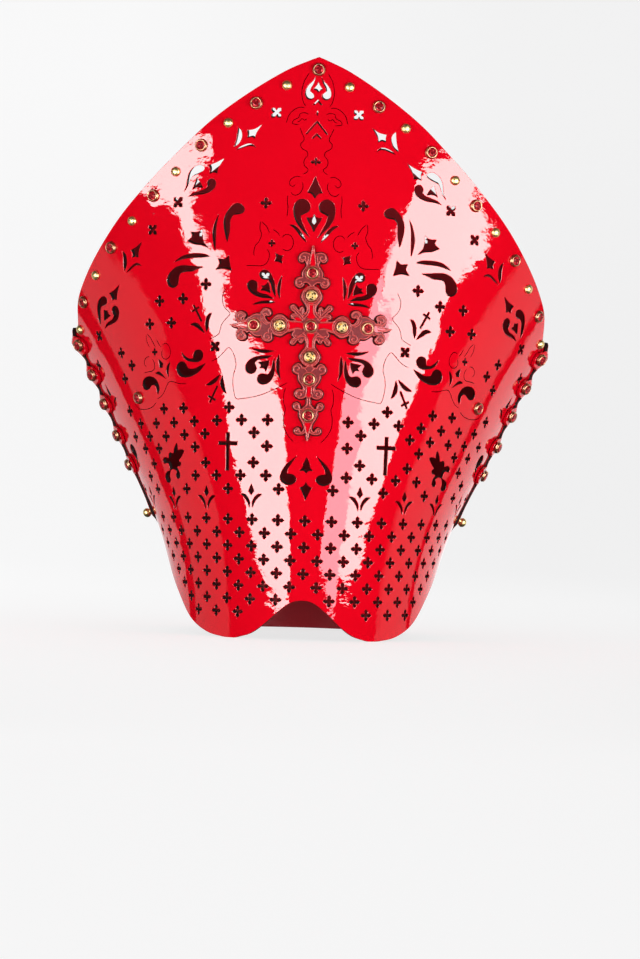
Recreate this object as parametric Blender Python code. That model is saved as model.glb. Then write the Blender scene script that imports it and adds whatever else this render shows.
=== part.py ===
"""A bishop's mitre of stiff pierced leather. A front and a back panel are cut flat, bent into deep arcs
and riveted together at the sides. They stay open at the top, between the two points of the crown, and
below, for the head. A jewelled cross lies on the front, over a band that comes down as a half mask.

Sizes are in millimetres and made into metres as the shapes are made. The front faces -Y and up is +Z.
On a flat panel, "across" runs from its centre line and "height" up from the surface it stands on."""

import math
from collections import namedtuple

import bmesh
import bpy
import numpy as np
from mathutils import Matrix, Vector
from mathutils.geometry import delaunay_2d_cdt

MM = 0.001

CROWN_HEIGHT = 439.0
LEATHER = 2.5
GAP = 0.3
FRONT_BULGE = 115.5
BULGE_GROWTH = 0.0256
BACK_DEEPER = 3.2
SEAM_GAP = 0.6
SEAM_TUCK = 8.0
SEAM_ROUND = 8.0
SEAM_MARGIN = 9.4
TAB_REACH = 6.4
TAB_HALF_HEIGHT = 7.5
TAB_BULGE = 5.0
TAB_BULGE_LOWEST = 0.8
TAB_SWELL = 14.0
TAB_STONE = 9.5
CROSS_THICK = 2.5
DIAPER_PITCH = 20.35
PETAL = 4.3

# Half of the hat's width between its side seams.
Flare = namedtuple("Flare", "height half_width")
SIDES = (
    Flare(0, 97.5),
    Flare(30, 101.0),
    Flare(60, 108.0),
    Flare(95, 121.5),
    Flare(130, 138.5),
    Flare(165, 154.8),
    Flare(200, 171.2),
    Flare(240, 191.2),
    Flare(340, 231.3),
    Flare(440, 270.5),
)

# Half of the crown's edge, from its point to the shoulder.
Edge = namedtuple("Edge", "across height")
CROWN_EDGE = (
    Edge(0, CROWN_HEIGHT),
    Edge(8, 435.8),
    Edge(25, 428),
    Edge(52, 411.5),
    Edge(80, 391.5),
    Edge(105, 369.5),
    Edge(130, 347),
    Edge(157, 322),
    Edge(180, 298.5),
    Edge(201, 276.5),
    Edge(217, 258.5),
    Edge(225.5, 241),
)

# Half of the mask's lower edge, from the foot of the seam by the cheek lobe to the notch over the nose.
MASK_EDGE = (
    Edge(181, 94),
    Edge(172, 77),
    Edge(160, 62),
    Edge(145, 47),
    Edge(125, 31),
    Edge(103, 13),
    Edge(82, 3.5),
    Edge(66, 0.5),
    Edge(60, 0),
    Edge(54, 0),
    Edge(49.5, 1),
    Edge(39.6, 4),
    Edge(30, 10.5),
    Edge(20, 19.5),
    Edge(9, 28),
    Edge(0, 30),
)

# Half of the back's lower edge, from the foot of the seam to the flat part at the nape.
NAPE_EDGE = (
    Edge(187, 88),
    Edge(172, 72),
    Edge(152, 50),
    Edge(128, 28),
    Edge(104, 12),
    Edge(84, 3.5),
    Edge(66, 0),
)

# Heights of the five riveted tabs down each seam.
TAB_HEIGHTS = (224.4, 201.1, 178.4, 153.8, 130.9)
SEAM_TOP = 227.0
SEAM_FOOT = 112.0

# Studs along the crown's edge, on both sides of its point.
Stud = namedtuple("Stud", "across height kind")
BORDER = (
    Stud(0, 429.4, "stone"),
    Stud(23.6, 417.1, "dome"),
    Stud(46.3, 403.4, "stone"),
    Stud(67.5, 388.5, "dome"),
    Stud(88.3, 371.8, "stone"),
    Stud(108.7, 352.3, "dome"),
    Stud(127.7, 334.7, "stone"),
    Stud(147.0, 316.1, "dome"),
    Stud(168.5, 296.7, "stone"),
    Stud(187.8, 276.4, "dome"),
    Stud(207.8, 257.0, "stone"),
    Stud(223.0, 236.5, "dome"),
)
SIDE_STONE = Stud(150.5, 181.8, "stone")
BALL_HEIGHT = 93.0

# Stones of the cross, from its head down and then out along the arms.
CROSS_STONES = (
    Stud(0, 276.3, "stone"),
    Stud(0, 259.4, "yellow"),
    Stud(0, 236.3, "stone"),
    Stud(0, 213.2, "yellow"),
    Stud(0, 196.5, "stone"),
    Stud(0, 169.3, "stone"),
    Stud(23.1, 236.5, "yellow"),
    Stud(42.3, 236.4, "stone"),
)

# Half of the cross's outline, from the tip of its head down to its foot.
CROSS_EDGE = (
    Edge(0, 296),
    Edge(4.5, 293.5),
    Edge(10.5, 289),
    Edge(9, 283),
    Edge(5.5, 281),
    Edge(6, 274),
    Edge(14, 271),
    Edge(14, 265.5),
    Edge(9, 262),
    Edge(9, 254),
    Edge(13, 250),
    Edge(11.5, 244),
    Edge(22, 245),
    Edge(32, 248.5),
    Edge(37.5, 245),
    Edge(46, 241.5),
    Edge(52, 247),
    Edge(57, 244),
    Edge(58.5, 239),
    Edge(61.4, 236),
    Edge(58, 231.5),
    Edge(54, 225),
    Edge(47, 230),
    Edge(36, 226),
    Edge(30, 225),
    Edge(22, 228.5),
    Edge(12.5, 229),
    Edge(13.5, 223.5),
    Edge(9, 219),
    Edge(9.5, 209),
    Edge(15, 206),
    Edge(14, 200),
    Edge(6.5, 199),
    Edge(6.5, 193),
    Edge(10.5, 189),
    Edge(9.5, 183),
    Edge(5.5, 181),
    Edge(10.5, 177),
    Edge(7, 171),
    Edge(6, 163),
    Edge(10, 158),
    Edge(6, 153),
    Edge(0, 150),
)

# Gaps cut through the front. Every row of these tables stands for one on each side.
Quatrefoil = namedtuple("Quatrefoil", "across height turn")
QUATREFOILS = (
    Quatrefoil(31.1, 396.3, 45),
    Quatrefoil(106.5, 329.2, 45),
    Quatrefoil(128.5, 308.8, 45),
    Quatrefoil(194.9, 230.2, 45),
    Quatrefoil(36.8, 328.5, 0),
    Quatrefoil(82.2, 267.1, 0),
    Quatrefoil(122.5, 254.8, 0),
    Quatrefoil(111.9, 238.2, 0),
    Quatrefoil(156.0, 206.6, 0),
    Quatrefoil(167.0, 196.6, 0),
)

# A comma has a round bulb, and a tail that narrows along these points to its tip.
Comma = namedtuple("Comma", "bulb radius tail")
COMMAS = (
    Comma((91, 353.5), 3.7, ((98, 349), (99.5, 343), (102, 337))),
    Comma((80, 343.3), 3.4, ((84, 338), (90, 336), (98.3, 333.5))),
    Comma((57.5, 324), 4.3, ((64, 318), (66.5, 310), (66.5, 299))),
    Comma((110.5, 270.5), 4.6, ((108, 277), (100, 279), (84.5, 280))),
    Comma((182, 257.5), 3.8, ((187.5, 253.5), (189, 246), (189, 238))),
    Comma((168.5, 248.3), 3.8, ((170, 242), (176, 239), (185, 236))),
    Comma((36.5, 274.2), 3.8, ((31, 273), (28.8, 267), (27, 258.5))),
    Comma((45.3, 266.5), 3.8, ((45, 261), (39, 259), (28.5, 256.6))),
    Comma((45, 203.8), 4.1, ((44, 210.5), (38, 213), (30, 214.2))),
    Comma((35.5, 196), 3.9, ((30.5, 197.5), (28, 203), (26.2, 212))),
    Comma((102, 203), 6.2, ((93, 199), (86, 202.5), (82, 207.5))),
    Comma((140, 191.7), 4.4, ((135, 196.5), (128.5, 194.5), (127.5, 184))),
    Comma((9.8, 325.7), 6.2, ((12.8, 318), (9.5, 311), (3.2, 303.5))),
    Comma((12.5, 122), 5.8, ((13.5, 129.5), (11, 134.5), (7.8, 138.7))),
)

# Other gaps, by their corners: petals, diamonds, a small cross and a leaning lily on each side.
SIDE_GAPS = (
    ((42, 387), (53, 382), (53, 377.5), (47.5, 376.5)),
    ((70, 361.8), (81.5, 356), (81, 350.5), (75.5, 351)),
    ((86, 308.5), (96, 306), (98.5, 300), (80.5, 294.7)),
    ((64, 289), (73, 286.5), (74.5, 278.2), (62, 277.5)),
    ((109, 284), (100, 289.5), (89, 290.5), (79.5, 288), (89, 287)),
    ((162.3, 268.7), (174, 262), (171.5, 256.7), (166, 257)),
    ((139, 299.7), (148.5, 293.5), (147.5, 288.5), (142, 288.7)),
    (
        (60.6, 126.5), (63.4, 126.5), (63.4, 145.7), (70, 145.7), (70, 148.3), (63.4, 148.3),
        (63.4, 155.3), (60.6, 155.3), (60.6, 148.3), (54, 148.3), (54, 145.7), (60.6, 145.7),
    ),
    (
        (109, 147), (112.5, 135), (102.5, 141), (107, 130), (113, 128), (110, 119.5),
        (117, 124), (124, 118.5), (119.5, 129), (128, 134.5), (117, 134), (114, 141),
    ),
)

# Gaps on the front's centre line, by the corners of one half.
CENTRE_GAPS = (
    ((0, 420), (3.3, 414.3), (0, 412.5)),
    ((0, 349), (5.6, 337.5), (0, 332.8)),
    ((0, 321), (5.6, 318), (0, 308)),
    ((0, 138), (5, 127.5), (0, 126)),
    ((0, 119.5), (4.3, 116), (0, 105.5)),
)

# Every other row of the small quatrefoils that cover the mask, counted in pitches from the centre line.
Row = namedtuple("Row", "height first last")
DIAPER = (
    Row(80, 0.5, 7.5),
    Row(60, 0.5, 6.5),
    Row(40, 0.5, 5.5),
    Row(20, 2.5, 4.5),
)

# Turned studs, as radius and height of each ring. A stone has a table and a ring of facets in its cup.
STONE_PROFILE = ((4.9, 0.0), (4.9, 1.3), (4.0, 1.9), (2.1, 3.1))
DOME_PROFILE = ((3.6, 0.0), (3.3, 1.3), (2.2, 2.4), (0.0, 2.9))
BALL_PROFILE = ((2.6, 0.0), (3.3, 1.3), (3.75, 3.2), (3.2, 5.1), (1.8, 6.5), (0.0, 6.95))

Finish = namedtuple("Finish", "colour roughness metallic")
FINISHES = {
    "patent_red": Finish((0.78, 0.004, 0.012), 0.16, 0.0),
    "tooled_red": Finish((0.33, 0.05, 0.045), 0.45, 0.0),
    "brass": Finish((0.86, 0.58, 0.22), 0.22, 1.0),
    "red_glass": Finish((0.19, 0.008, 0.012), 0.05, 0.0),
    "yellow_glass": Finish((0.95, 0.62, 0.03), 0.05, 0.0),
}


def material(name):
    """A plain material with this finish, made once."""
    if name in bpy.data.materials:
        return bpy.data.materials[name]
    made = bpy.data.materials.new(name)
    made.use_nodes = True
    shader = made.node_tree.nodes["Principled BSDF"]
    finish = FINISHES[name]
    shader.inputs["Base Color"].default_value = (*finish.colour, 1.0)
    shader.inputs["Roughness"].default_value = finish.roughness
    shader.inputs["Metallic"].default_value = finish.metallic
    return made


def natural_spline(rows):
    """The smoothest curve through the rows, as a function of their first column."""
    at = np.array([row[0] for row in rows], float)
    value = np.array([row[1] for row in rows], float)
    step = np.diff(at)
    slope = np.diff(value) / step
    size = len(at)
    system = np.eye(size)
    right = np.zeros(size)
    for i in range(1, size - 1):
        system[i, i - 1 : i + 2] = step[i - 1], 2 * (step[i - 1] + step[i]), step[i]
        right[i] = 6 * (slope[i] - slope[i - 1])
    bend = np.linalg.solve(system, right)

    def curve(x):
        i = int(np.clip(np.searchsorted(at, x) - 1, 0, size - 2))
        a = (at[i + 1] - x) / step[i]
        b = (x - at[i]) / step[i]
        curved = ((a**3 - a) * bend[i] + (b**3 - b) * bend[i + 1]) * step[i] ** 2 / 6
        return a * value[i] + b * value[i + 1] + curved

    return curve


half_width = natural_spline(SIDES)


def section(height, deeper=0.0):
    """Radius, bulge and distance from centre line to corner of a panel's arc at this height."""
    bulge = FRONT_BULGE + deeper + BULGE_GROWTH * height
    radius = (half_width(height) ** 2 + bulge**2) / (2 * bulge)
    return radius, bulge, radius * math.acos((radius - bulge) / radius)


def bend_front(across, depth, height):
    """Where a point of the flat front panel comes to lie, this deep under its outer face."""
    radius, bulge, _ = section(height)
    angle = across / radius
    return Vector(
        (
            (radius - depth) * math.sin(angle),
            radius - bulge - (radius - depth) * math.cos(angle),
            height,
        )
    )


def tab_shape(height, half_height):
    """How much of a tab there is at this height: 1 at its middle, 0 beside it."""
    nearest = min(abs(height - middle) for middle in TAB_HEIGHTS)
    return math.cos(0.5 * math.pi * min(1.0, nearest / half_height)) ** 2


def bend_back(across, depth, height):
    """The same for the back panel, whose margin goes round the corner and lies over the front."""
    side = math.copysign(1.0, across)
    radius, bulge, corner = section(height, BACK_DEEPER)
    past = abs(across) - corner
    angle = abs(across) / radius
    place = Vector(
        (
            (radius - depth) * math.sin(angle),
            bulge - radius + (radius - depth) * math.cos(angle),
            height,
        )
    )
    if past > -SEAM_ROUND:
        front_corner = section(height)[2]
        over = bend_front(front_corner - past, depth - LEATHER - SEAM_GAP, height)
        share = min(1.0, (past + SEAM_ROUND) / (2 * SEAM_ROUND))
        place = place.lerp(over, share * share * (3 - 2 * share))
    swell = math.cos(0.5 * math.pi * min(1.0, abs(past) / TAB_SWELL)) ** 2
    down = (TAB_HEIGHTS[0] - height) / (TAB_HEIGHTS[0] - TAB_HEIGHTS[-1])
    bulge = TAB_BULGE + (TAB_BULGE_LOWEST - TAB_BULGE) * min(1.0, max(0.0, down))
    place.x += bulge * swell * tab_shape(height, 1.6 * TAB_HALF_HEIGHT)
    place.x *= side
    return place


def smooth_line(points, spacing, first=None, last=None):
    """Points about this far apart on a smooth line through the given ones."""
    points = [Vector(p) for p in points]
    ends = [
        Vector(first) if first else 2 * points[0] - points[1],
        Vector(last) if last else 2 * points[-1] - points[-2],
    ]
    chain = [ends[0], *points, ends[1]]
    line = []
    for a, b, c, d in zip(chain, chain[1:], chain[2:], chain[3:]):
        steps = max(1, round((c - b).length / spacing))
        for i in range(steps):
            t = i / steps
            line.append(
                0.5 * (2 * b + (c - a) * t + (2 * a - 5 * b + 4 * c - d) * t**2 + (3 * b - a - 3 * c + d) * t**3)
            )
    return line + [points[-1]]


def mirrored(half):
    """A closed outline from its half, whose first and last points lie on the centre line."""
    return half + [Vector((-p.x, p.y)) for p in reversed(half[1:-1])]


def comma_outline(comma):
    """A bulb of eight sides that runs into a tail of three stretches."""
    line = [Vector(comma.bulb), *(Vector(p) for p in comma.tail)]
    widths = (1.0, 0.62, 0.36)
    left, right = [], []
    for i, width in enumerate(widths):
        along = (line[i + 1] - line[max(0, i - 1)]).normalized()
        aside = Vector((-along.y, along.x)) * comma.radius * width
        left.append(line[i] + aside)
        right.append(line[i] - aside)
    along = (line[1] - line[0]).normalized()
    aside = Vector((-along.y, along.x))
    cap = [line[0] + comma.radius * (0.71 * aside * k - along * (0.71 if k else 1.0)) for k in (-1, 0, 1)]
    return cap + left + [line[3]] + right[::-1]


def quatrefoil_outline(across, height, turn=0.0):
    """Four petals: eight corners, far from the middle and near it by turns."""
    ring = []
    for i in range(8):
        reach = PETAL if i % 2 == 0 else 0.36 * PETAL
        angle = math.radians(turn + 45 * i)
        ring.append(Vector((across + reach * math.cos(angle), height + reach * math.sin(angle))))
    return ring


def front_gaps():
    """The outline of every gap in the front panel."""
    gaps = []
    for flip in (1, -1):
        one_side = [quatrefoil_outline(*row) for row in QUATREFOILS]
        one_side += [comma_outline(row) for row in COMMAS]
        one_side += [[Vector(p) for p in corners] for corners in SIDE_GAPS]
        gaps += [[Vector((flip * p.x, p.y)) for p in gap] for gap in one_side]
    gaps += [mirrored([Vector(p) for p in half]) for half in CENTRE_GAPS]
    for row in DIAPER:
        count = round(row.last - row.first) + 1
        for i in range(count):
            for flip in (1, -1):
                gaps.append(quatrefoil_outline(flip * (row.first + i) * DIAPER_PITCH, row.height))
    return gaps


def inside(points, ring):
    """Which of the points lie inside the ring."""
    x, y = points[:, 0], points[:, 1]
    found = np.zeros(len(points), bool)
    for a, b in zip(ring, np.roll(ring, -1, axis=0)):
        crosses = (a[1] > y) != (b[1] > y)
        with np.errstate(divide="ignore", invalid="ignore"):
            found ^= crosses & (x < (b[0] - a[0]) * (y - a[1]) / (b[1] - a[1]) + a[0])
    return found


def distance_to(points, a, b):
    """How far each point is from the line between a and b."""
    along = b - a
    share = np.clip((points - a) @ along / max(along @ along, 1e-9), 0, 1)
    return np.linalg.norm(points - (a + share[:, None] * along), axis=1)


def flat_sheet(outline, gaps, folds, spacing):
    """A flat sheet cut to the outline, with its gaps, and with points on its folds and over its face."""
    rings = [np.array([p[:2] for p in ring]) for ring in [outline, *gaps]]
    lines = [np.array([p[:2] for p in fold]) for fold in folds]
    low, high = rings[0].min(axis=0), rings[0].max(axis=0)
    free = []
    height, odd = low[1] + 0.5 * spacing(low[1]), False
    while height < high[1]:
        pitch = spacing(height)
        count = int((high[0] - low[0]) / pitch) + 1
        free += [((i - count / 2 + 0.5 * odd) * pitch, height) for i in range(count + 1)]
        height, odd = height + 0.87 * pitch, not odd
    free = np.array(free)
    keep = inside(free, rings[0])
    pitch = np.array([spacing(h) for h in free[:, 1]])
    for ring in rings:
        for a, b in zip(ring, np.roll(ring, -1, axis=0)):
            keep &= distance_to(free, a, b) > 0.36 * pitch
    for line in lines:
        for a, b in zip(line, line[1:]):
            keep &= distance_to(free, a, b) > 0.36 * pitch
    points, edges = [], []
    for ring in rings:
        start = len(points)
        points += list(ring)
        edges += [(start + i, start + (i + 1) % len(ring)) for i in range(len(ring))]
    for line in lines:
        start = len(points)
        points += list(line)
        edges += [(start + i, start + i + 1) for i in range(len(line) - 1)]
    points += list(free[keep])
    found, _, faces, _, _, _ = delaunay_2d_cdt([Vector(p) for p in points], edges, [], 0, 1e-4, False)
    found = np.array([p[:2] for p in found])
    middles = np.array([found[list(face)].mean(axis=0) for face in faces])
    kept = inside(middles, rings[0])
    for gap in rings[1:]:
        kept &= ~inside(middles, gap)
    sheet = bmesh.new()
    verts = [sheet.verts.new((p[0], 0.0, p[1])) for p in found]
    for face, wanted in zip(faces, kept):
        if wanted:
            sheet.faces.new([verts[i] for i in face])
    loose = [v for v in sheet.verts if not v.link_faces]
    bmesh.ops.delete(sheet, geom=loose, context="VERTS")
    return sheet


def bent_solid(name, sheet, thickness, bend, finish):
    """The flat sheet given its thickness, bent, and made one object."""
    raised = bmesh.ops.extrude_face_region(sheet, geom=sheet.faces[:])
    for part in raised["geom"]:
        if isinstance(part, bmesh.types.BMVert):
            part.co.y = thickness
    for vert in sheet.verts:
        vert.co = bend(*vert.co) * MM
    bmesh.ops.recalc_face_normals(sheet, faces=sheet.faces[:])
    mesh = bpy.data.meshes.new(name)
    sheet.to_mesh(mesh)
    sheet.free()
    return placed(name, mesh, finish)


def placed(name, mesh, finish):
    obj = bpy.data.objects.new(name, mesh)
    bpy.context.scene.collection.objects.link(obj)
    if not mesh.materials:
        mesh.materials.append(material(finish))
    return obj


def turned(name, profile, sides, finish):
    """A round stud's mesh, turned from its profile."""
    shape = bmesh.new()
    rings = [(0.0, profile[0][1]), *profile]
    if profile[-1][0] > 0:
        rings.append((0.0, profile[-1][1]))
    verts = [shape.verts.new((radius * MM, 0.0, height * MM)) for radius, height in rings]
    edges = [shape.edges.new(pair) for pair in zip(verts, verts[1:])]
    bmesh.ops.spin(
        shape, geom=verts + edges, cent=(0, 0, 0), axis=(0, 0, 1), angle=math.tau, steps=sides, use_merge=True
    )
    bmesh.ops.remove_doubles(shape, verts=shape.verts[:], dist=0.001 * MM)
    bmesh.ops.recalc_face_normals(shape, faces=shape.faces[:])
    mesh = bpy.data.meshes.new(name)
    shape.to_mesh(mesh)
    shape.free()
    mesh.materials.append(material(finish))
    return mesh


def outward(bend, across, height):
    """The bent panel's outer face and its normal at this point."""
    step = 0.5
    along = bend(across + step, 0, height) - bend(across - step, 0, height)
    up = bend(across, 0, height + step) - bend(across, 0, height - step)
    normal = along.cross(up).normalized()
    place = bend(across, 0, height)
    if normal.dot(place - bend(across, 1, height)) < 0:
        normal.negate()
    return place, normal


def set_on(name, mesh, bend, across, height, raised):
    """A stud set square on the panel's face, this far off it."""
    place, normal = outward(bend, across, height)
    stud = placed(name, mesh, "brass")
    turn = Vector((0, 0, 1)).rotation_difference(normal).to_matrix().to_4x4()
    stud.matrix_world = Matrix.Translation((place + normal * raised) * MM) @ turn
    return stud


for old in list(bpy.data.objects):
    bpy.data.objects.remove(old)

# The front panel: crown, side seams and mask in one sheet, pierced all over. Its sides stop short of the
# corner, under the back panel's margin.
seam_heights = np.linspace(232.0, 104.0, 14)
front_seam = [Vector((section(h)[2] - SEAM_TUCK, h)) for h in seam_heights]
front_half = smooth_line(
    [Vector(p) for p in CROWN_EDGE] + front_seam + [Vector(p) for p in MASK_EDGE],
    16.0,
    last=(-9, 28),
)
front = bent_solid(
    "front_panel",
    flat_sheet(mirrored(front_half), front_gaps(), [], lambda height: 15.0 if height < 110 else 21.0),
    LEATHER,
    bend_front,
    "patent_red",
)

# The back panel: the same crown, a plain face, and a margin with five tabs a side that laps the front.
margin = []
for h in np.linspace(SEAM_TOP, SEAM_FOOT, 31):
    reach = SEAM_MARGIN + TAB_REACH * tab_shape(h, TAB_HALF_HEIGHT)
    margin.append(Vector((section(h, BACK_DEEPER)[2] + reach, h)))
top_corner = section(240.0, BACK_DEEPER)[2]
foot_corner = section(100.0, BACK_DEEPER)[2]
back_half = [
    *smooth_line([Vector(p) for p in CROWN_EDGE], 16.0),
    Vector((top_corner - 6.0, 239.0)),
    Vector((top_corner + 2.0, 234.0)),
    *margin,
    Vector((foot_corner + 8.0, 106.0)),
    Vector((foot_corner + 5.0, 97.0)),
    Vector((foot_corner + 1.0, 91.0)),
    *smooth_line([Vector(p) for p in NAPE_EDGE], 18.0),
    Vector((33.0, 0.0)),
    Vector((0.0, 0.0)),
]
folds = []
for side in (1, -1):
    for past in (-8.0, -4.0, 0.0, 4.0, 7.5):
        heights = np.linspace(222.0 if past < 4 else 219.0, 114.0, 13)
        folds.append([Vector((side * (section(h, BACK_DEEPER)[2] + past), h)) for h in heights])
back = bent_solid(
    "back_panel",
    flat_sheet(mirrored(back_half), [], folds, lambda height: 17.0 if height < 110 else 23.0),
    LEATHER,
    bend_back,
    "patent_red",
)

# The cross: a tooled leather plate that lies on the front, bent with it.
cross = bent_solid(
    "cross_overlay",
    flat_sheet(mirrored([Vector(p) for p in CROSS_EDGE]), [], [], lambda height: 11.0),
    CROSS_THICK,
    lambda across, depth, height: bend_front(across, depth - GAP - CROSS_THICK, height),
    "tooled_red",
)

# Cut stones in brass cups, brass domes along the crown's edge, and a ball stud at the foot of each seam.
stone = turned("stone", STONE_PROFILE, 10, "red_glass")
yellow = turned("yellow_stone", STONE_PROFILE, 10, "yellow_glass")
dome = turned("dome", DOME_PROFILE, 10, "brass")
ball = turned("ball", BALL_PROFILE, 12, "brass")
meshes = {"stone": stone, "yellow": yellow, "dome": dome}

for number, row in enumerate(BORDER):
    for side, word in ((-1, "left"), (1, "right")):
        if row.across == 0 and side > 0:
            continue
        name = f"border_{row.kind}_{word}_{number}" if row.across else "apex_stone"
        set_on(name, meshes[row.kind], bend_front, side * row.across, row.height, GAP)
for side, word in ((-1, "left"), (1, "right")):
    set_on(f"side_stone_{word}", stone, bend_front, side * SIDE_STONE.across, SIDE_STONE.height, GAP)
    for number, height in enumerate(TAB_HEIGHTS, 1):
        across = side * (section(height, BACK_DEEPER)[2] + TAB_STONE)
        set_on(f"seam_stone_{word}_{number}", stone, bend_back, across, height, 3 * GAP)
    across = side * (section(BALL_HEIGHT, BACK_DEEPER)[2] - 1.0)
    set_on(f"ball_stud_{word}", ball, bend_back, across, BALL_HEIGHT + 1.5, 2 * GAP)
for number, row in enumerate(CROSS_STONES, 1):
    for side in (-1, 1) if row.across else (1,):
        word = {-1: "_left", 1: "_right"}[side] if row.across else ""
        set_on(
            f"cross_{row.kind}_{number}{word}",
            meshes[row.kind],
            bend_front,
            side * row.across,
            row.height,
            2 * GAP + CROSS_THICK,
        )
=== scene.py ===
"""A bishop's mitre of pierced patent leather, dressed for its picture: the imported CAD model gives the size
and the place of every piece, and each piece is made here again with its finish. Sizes are in millimetres
until a shape is made. The front faces -Y and up is +Z. On a flat panel "across" runs from its centre line
and "height" up from the surface that the mitre stands on."""

import math

import bmesh
import bpy
import numpy as np
from mathutils import Matrix, Vector


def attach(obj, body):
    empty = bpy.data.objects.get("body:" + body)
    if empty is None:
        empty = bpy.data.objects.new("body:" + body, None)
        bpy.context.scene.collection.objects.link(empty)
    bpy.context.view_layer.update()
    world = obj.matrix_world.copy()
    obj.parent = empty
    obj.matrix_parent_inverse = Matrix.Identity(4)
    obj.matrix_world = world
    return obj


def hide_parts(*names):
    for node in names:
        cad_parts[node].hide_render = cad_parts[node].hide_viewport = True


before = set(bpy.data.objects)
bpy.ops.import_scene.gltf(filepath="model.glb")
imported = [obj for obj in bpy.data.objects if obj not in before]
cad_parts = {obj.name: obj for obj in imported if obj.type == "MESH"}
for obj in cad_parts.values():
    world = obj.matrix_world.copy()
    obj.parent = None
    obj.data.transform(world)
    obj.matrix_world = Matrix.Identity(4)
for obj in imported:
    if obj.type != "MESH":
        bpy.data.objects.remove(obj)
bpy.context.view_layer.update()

# The camera stands two metres off, a hand's width above the floor, and looks up a little, so that the
# crown rises in front of the light wall as it does in the picture. It leans by under two degrees.
MM = 0.001
PICTURE_HEIGHT = 959.0
FOCAL_PIXELS = 2500.0
CAMERA_PLACE = (0.0, -2000.0, 89.8)
CAMERA_ANGLES = (90.970, -1.799, -0.352)
camera = bpy.data.objects.new("camera", bpy.data.cameras.new("camera"))
bpy.context.scene.collection.objects.link(camera)
camera.location = Vector(CAMERA_PLACE) * MM
camera.rotation_euler = [math.radians(a) for a in CAMERA_ANGLES]
camera.data.sensor_fit = "VERTICAL"
camera.data.sensor_height = 24.0
camera.data.lens = 24.0 * FOCAL_PIXELS / PICTURE_HEIGHT
camera.data.clip_end = 50.0
bpy.context.scene.camera = camera
bpy.context.scene.view_settings.view_transform = "Standard"

# The stage is one pale paper sweep, that runs back from under the mitre and curves up behind it.
SWEEP_COLOUR = (0.35, 0.35, 0.353, 1.0)
SWEEP_GLOW_LEFT, SWEEP_GLOW_RIGHT = 0.785, 0.725
SWEEP_GLOW_NEAR, SWEEP_GLOW_FAR = 0.965, 0.90
SWEEP_WIDTH, SWEEP_DEPTH, SWEEP_CURVE, SWEEP_RISE = 9.0, 3.2, 1.2, 4.0
sweep = bmesh.new()
line = [(-5.0, 0.0), (SWEEP_DEPTH, 0.0)]
for i in range(1, 13):
    turn = math.radians(7.5 * i)
    line.append((SWEEP_DEPTH + SWEEP_CURVE * math.sin(turn), SWEEP_CURVE * (1 - math.cos(turn))))
line.append((SWEEP_DEPTH + SWEEP_CURVE, SWEEP_RISE))
verts = [sweep.verts.new((-SWEEP_WIDTH / 2, y, z)) for y, z in line]
edges = [sweep.edges.new(pair) for pair in zip(verts, verts[1:])]
widened = bmesh.ops.extrude_edge_only(sweep, edges=edges)
for part in widened["geom"]:
    if isinstance(part, bmesh.types.BMVert):
        part.co.x += SWEEP_WIDTH
bmesh.ops.recalc_face_normals(sweep, faces=sweep.faces[:])
if sum(face.normal.z for face in sweep.faces) < 0:
    bmesh.ops.reverse_faces(sweep, faces=sweep.faces[:])
for face in sweep.faces:
    face.smooth = True
mesh = bpy.data.meshes.new("paper_sweep")
sweep.to_mesh(mesh)
sweep.free()
paper_sweep = bpy.data.objects.new("paper_sweep", mesh)
bpy.context.scene.collection.objects.link(paper_sweep)
paper = bpy.data.materials.new("sweep_paper")
paper.use_nodes = True
shader = paper.node_tree.nodes["Principled BSDF"]
shader.inputs["Roughness"].default_value = 0.9
shader.inputs["Specular IOR Level"].default_value = 0.1
fibre = paper.node_tree.nodes.new("ShaderNodeTexNoise")
fibre.inputs["Scale"].default_value = 900.0
fibre.inputs["Detail"].default_value = 3.0
place = paper.node_tree.nodes.new("ShaderNodeTexCoord")
tint = paper.node_tree.nodes.new("ShaderNodeMix")
tint.data_type = "RGBA"
tint.inputs["A"].default_value = SWEEP_COLOUR
tint.inputs["B"].default_value = tuple(0.97 * c for c in SWEEP_COLOUR[:3]) + (1.0,)
paper.node_tree.links.new(place.outputs["Object"], fibre.inputs["Vector"])
paper.node_tree.links.new(fibre.outputs["Fac"], tint.inputs["Factor"])
paper.node_tree.links.new(tint.outputs["Result"], shader.inputs["Base Color"])
shader.inputs["Emission Color"].default_value = (1.0, 1.0, 1.0, 1.0)
apart = paper.node_tree.nodes.new("ShaderNodeSeparateXYZ")
paper.node_tree.links.new(place.outputs["Object"], apart.inputs["Vector"])
# The paper glows less from left to right, and from behind the mitre back to where it curves up.
SWEEP_FADES = (
    ("X", (-0.5, 0.5, SWEEP_GLOW_LEFT, SWEEP_GLOW_RIGHT)),
    ("Y", (1.0, SWEEP_DEPTH, SWEEP_GLOW_NEAR, SWEEP_GLOW_FAR)),
)
fades = []
for axis, row in SWEEP_FADES:
    fade = paper.node_tree.nodes.new("ShaderNodeMapRange")
    for socket, value in zip(("From Min", "From Max", "To Min", "To Max"), row):
        fade.inputs[socket].default_value = value
    paper.node_tree.links.new(apart.outputs[axis], fade.inputs["Value"])
    fades.append(fade)
both = paper.node_tree.nodes.new("ShaderNodeMath")
both.operation = "MULTIPLY"
for fade, socket in zip(fades, both.inputs):
    paper.node_tree.links.new(fade.outputs["Result"], socket)
paper.node_tree.links.new(both.outputs["Value"], shader.inputs["Emission Strength"])
mesh.materials.append(paper)
paper_sweep.visible_glossy = False

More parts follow.
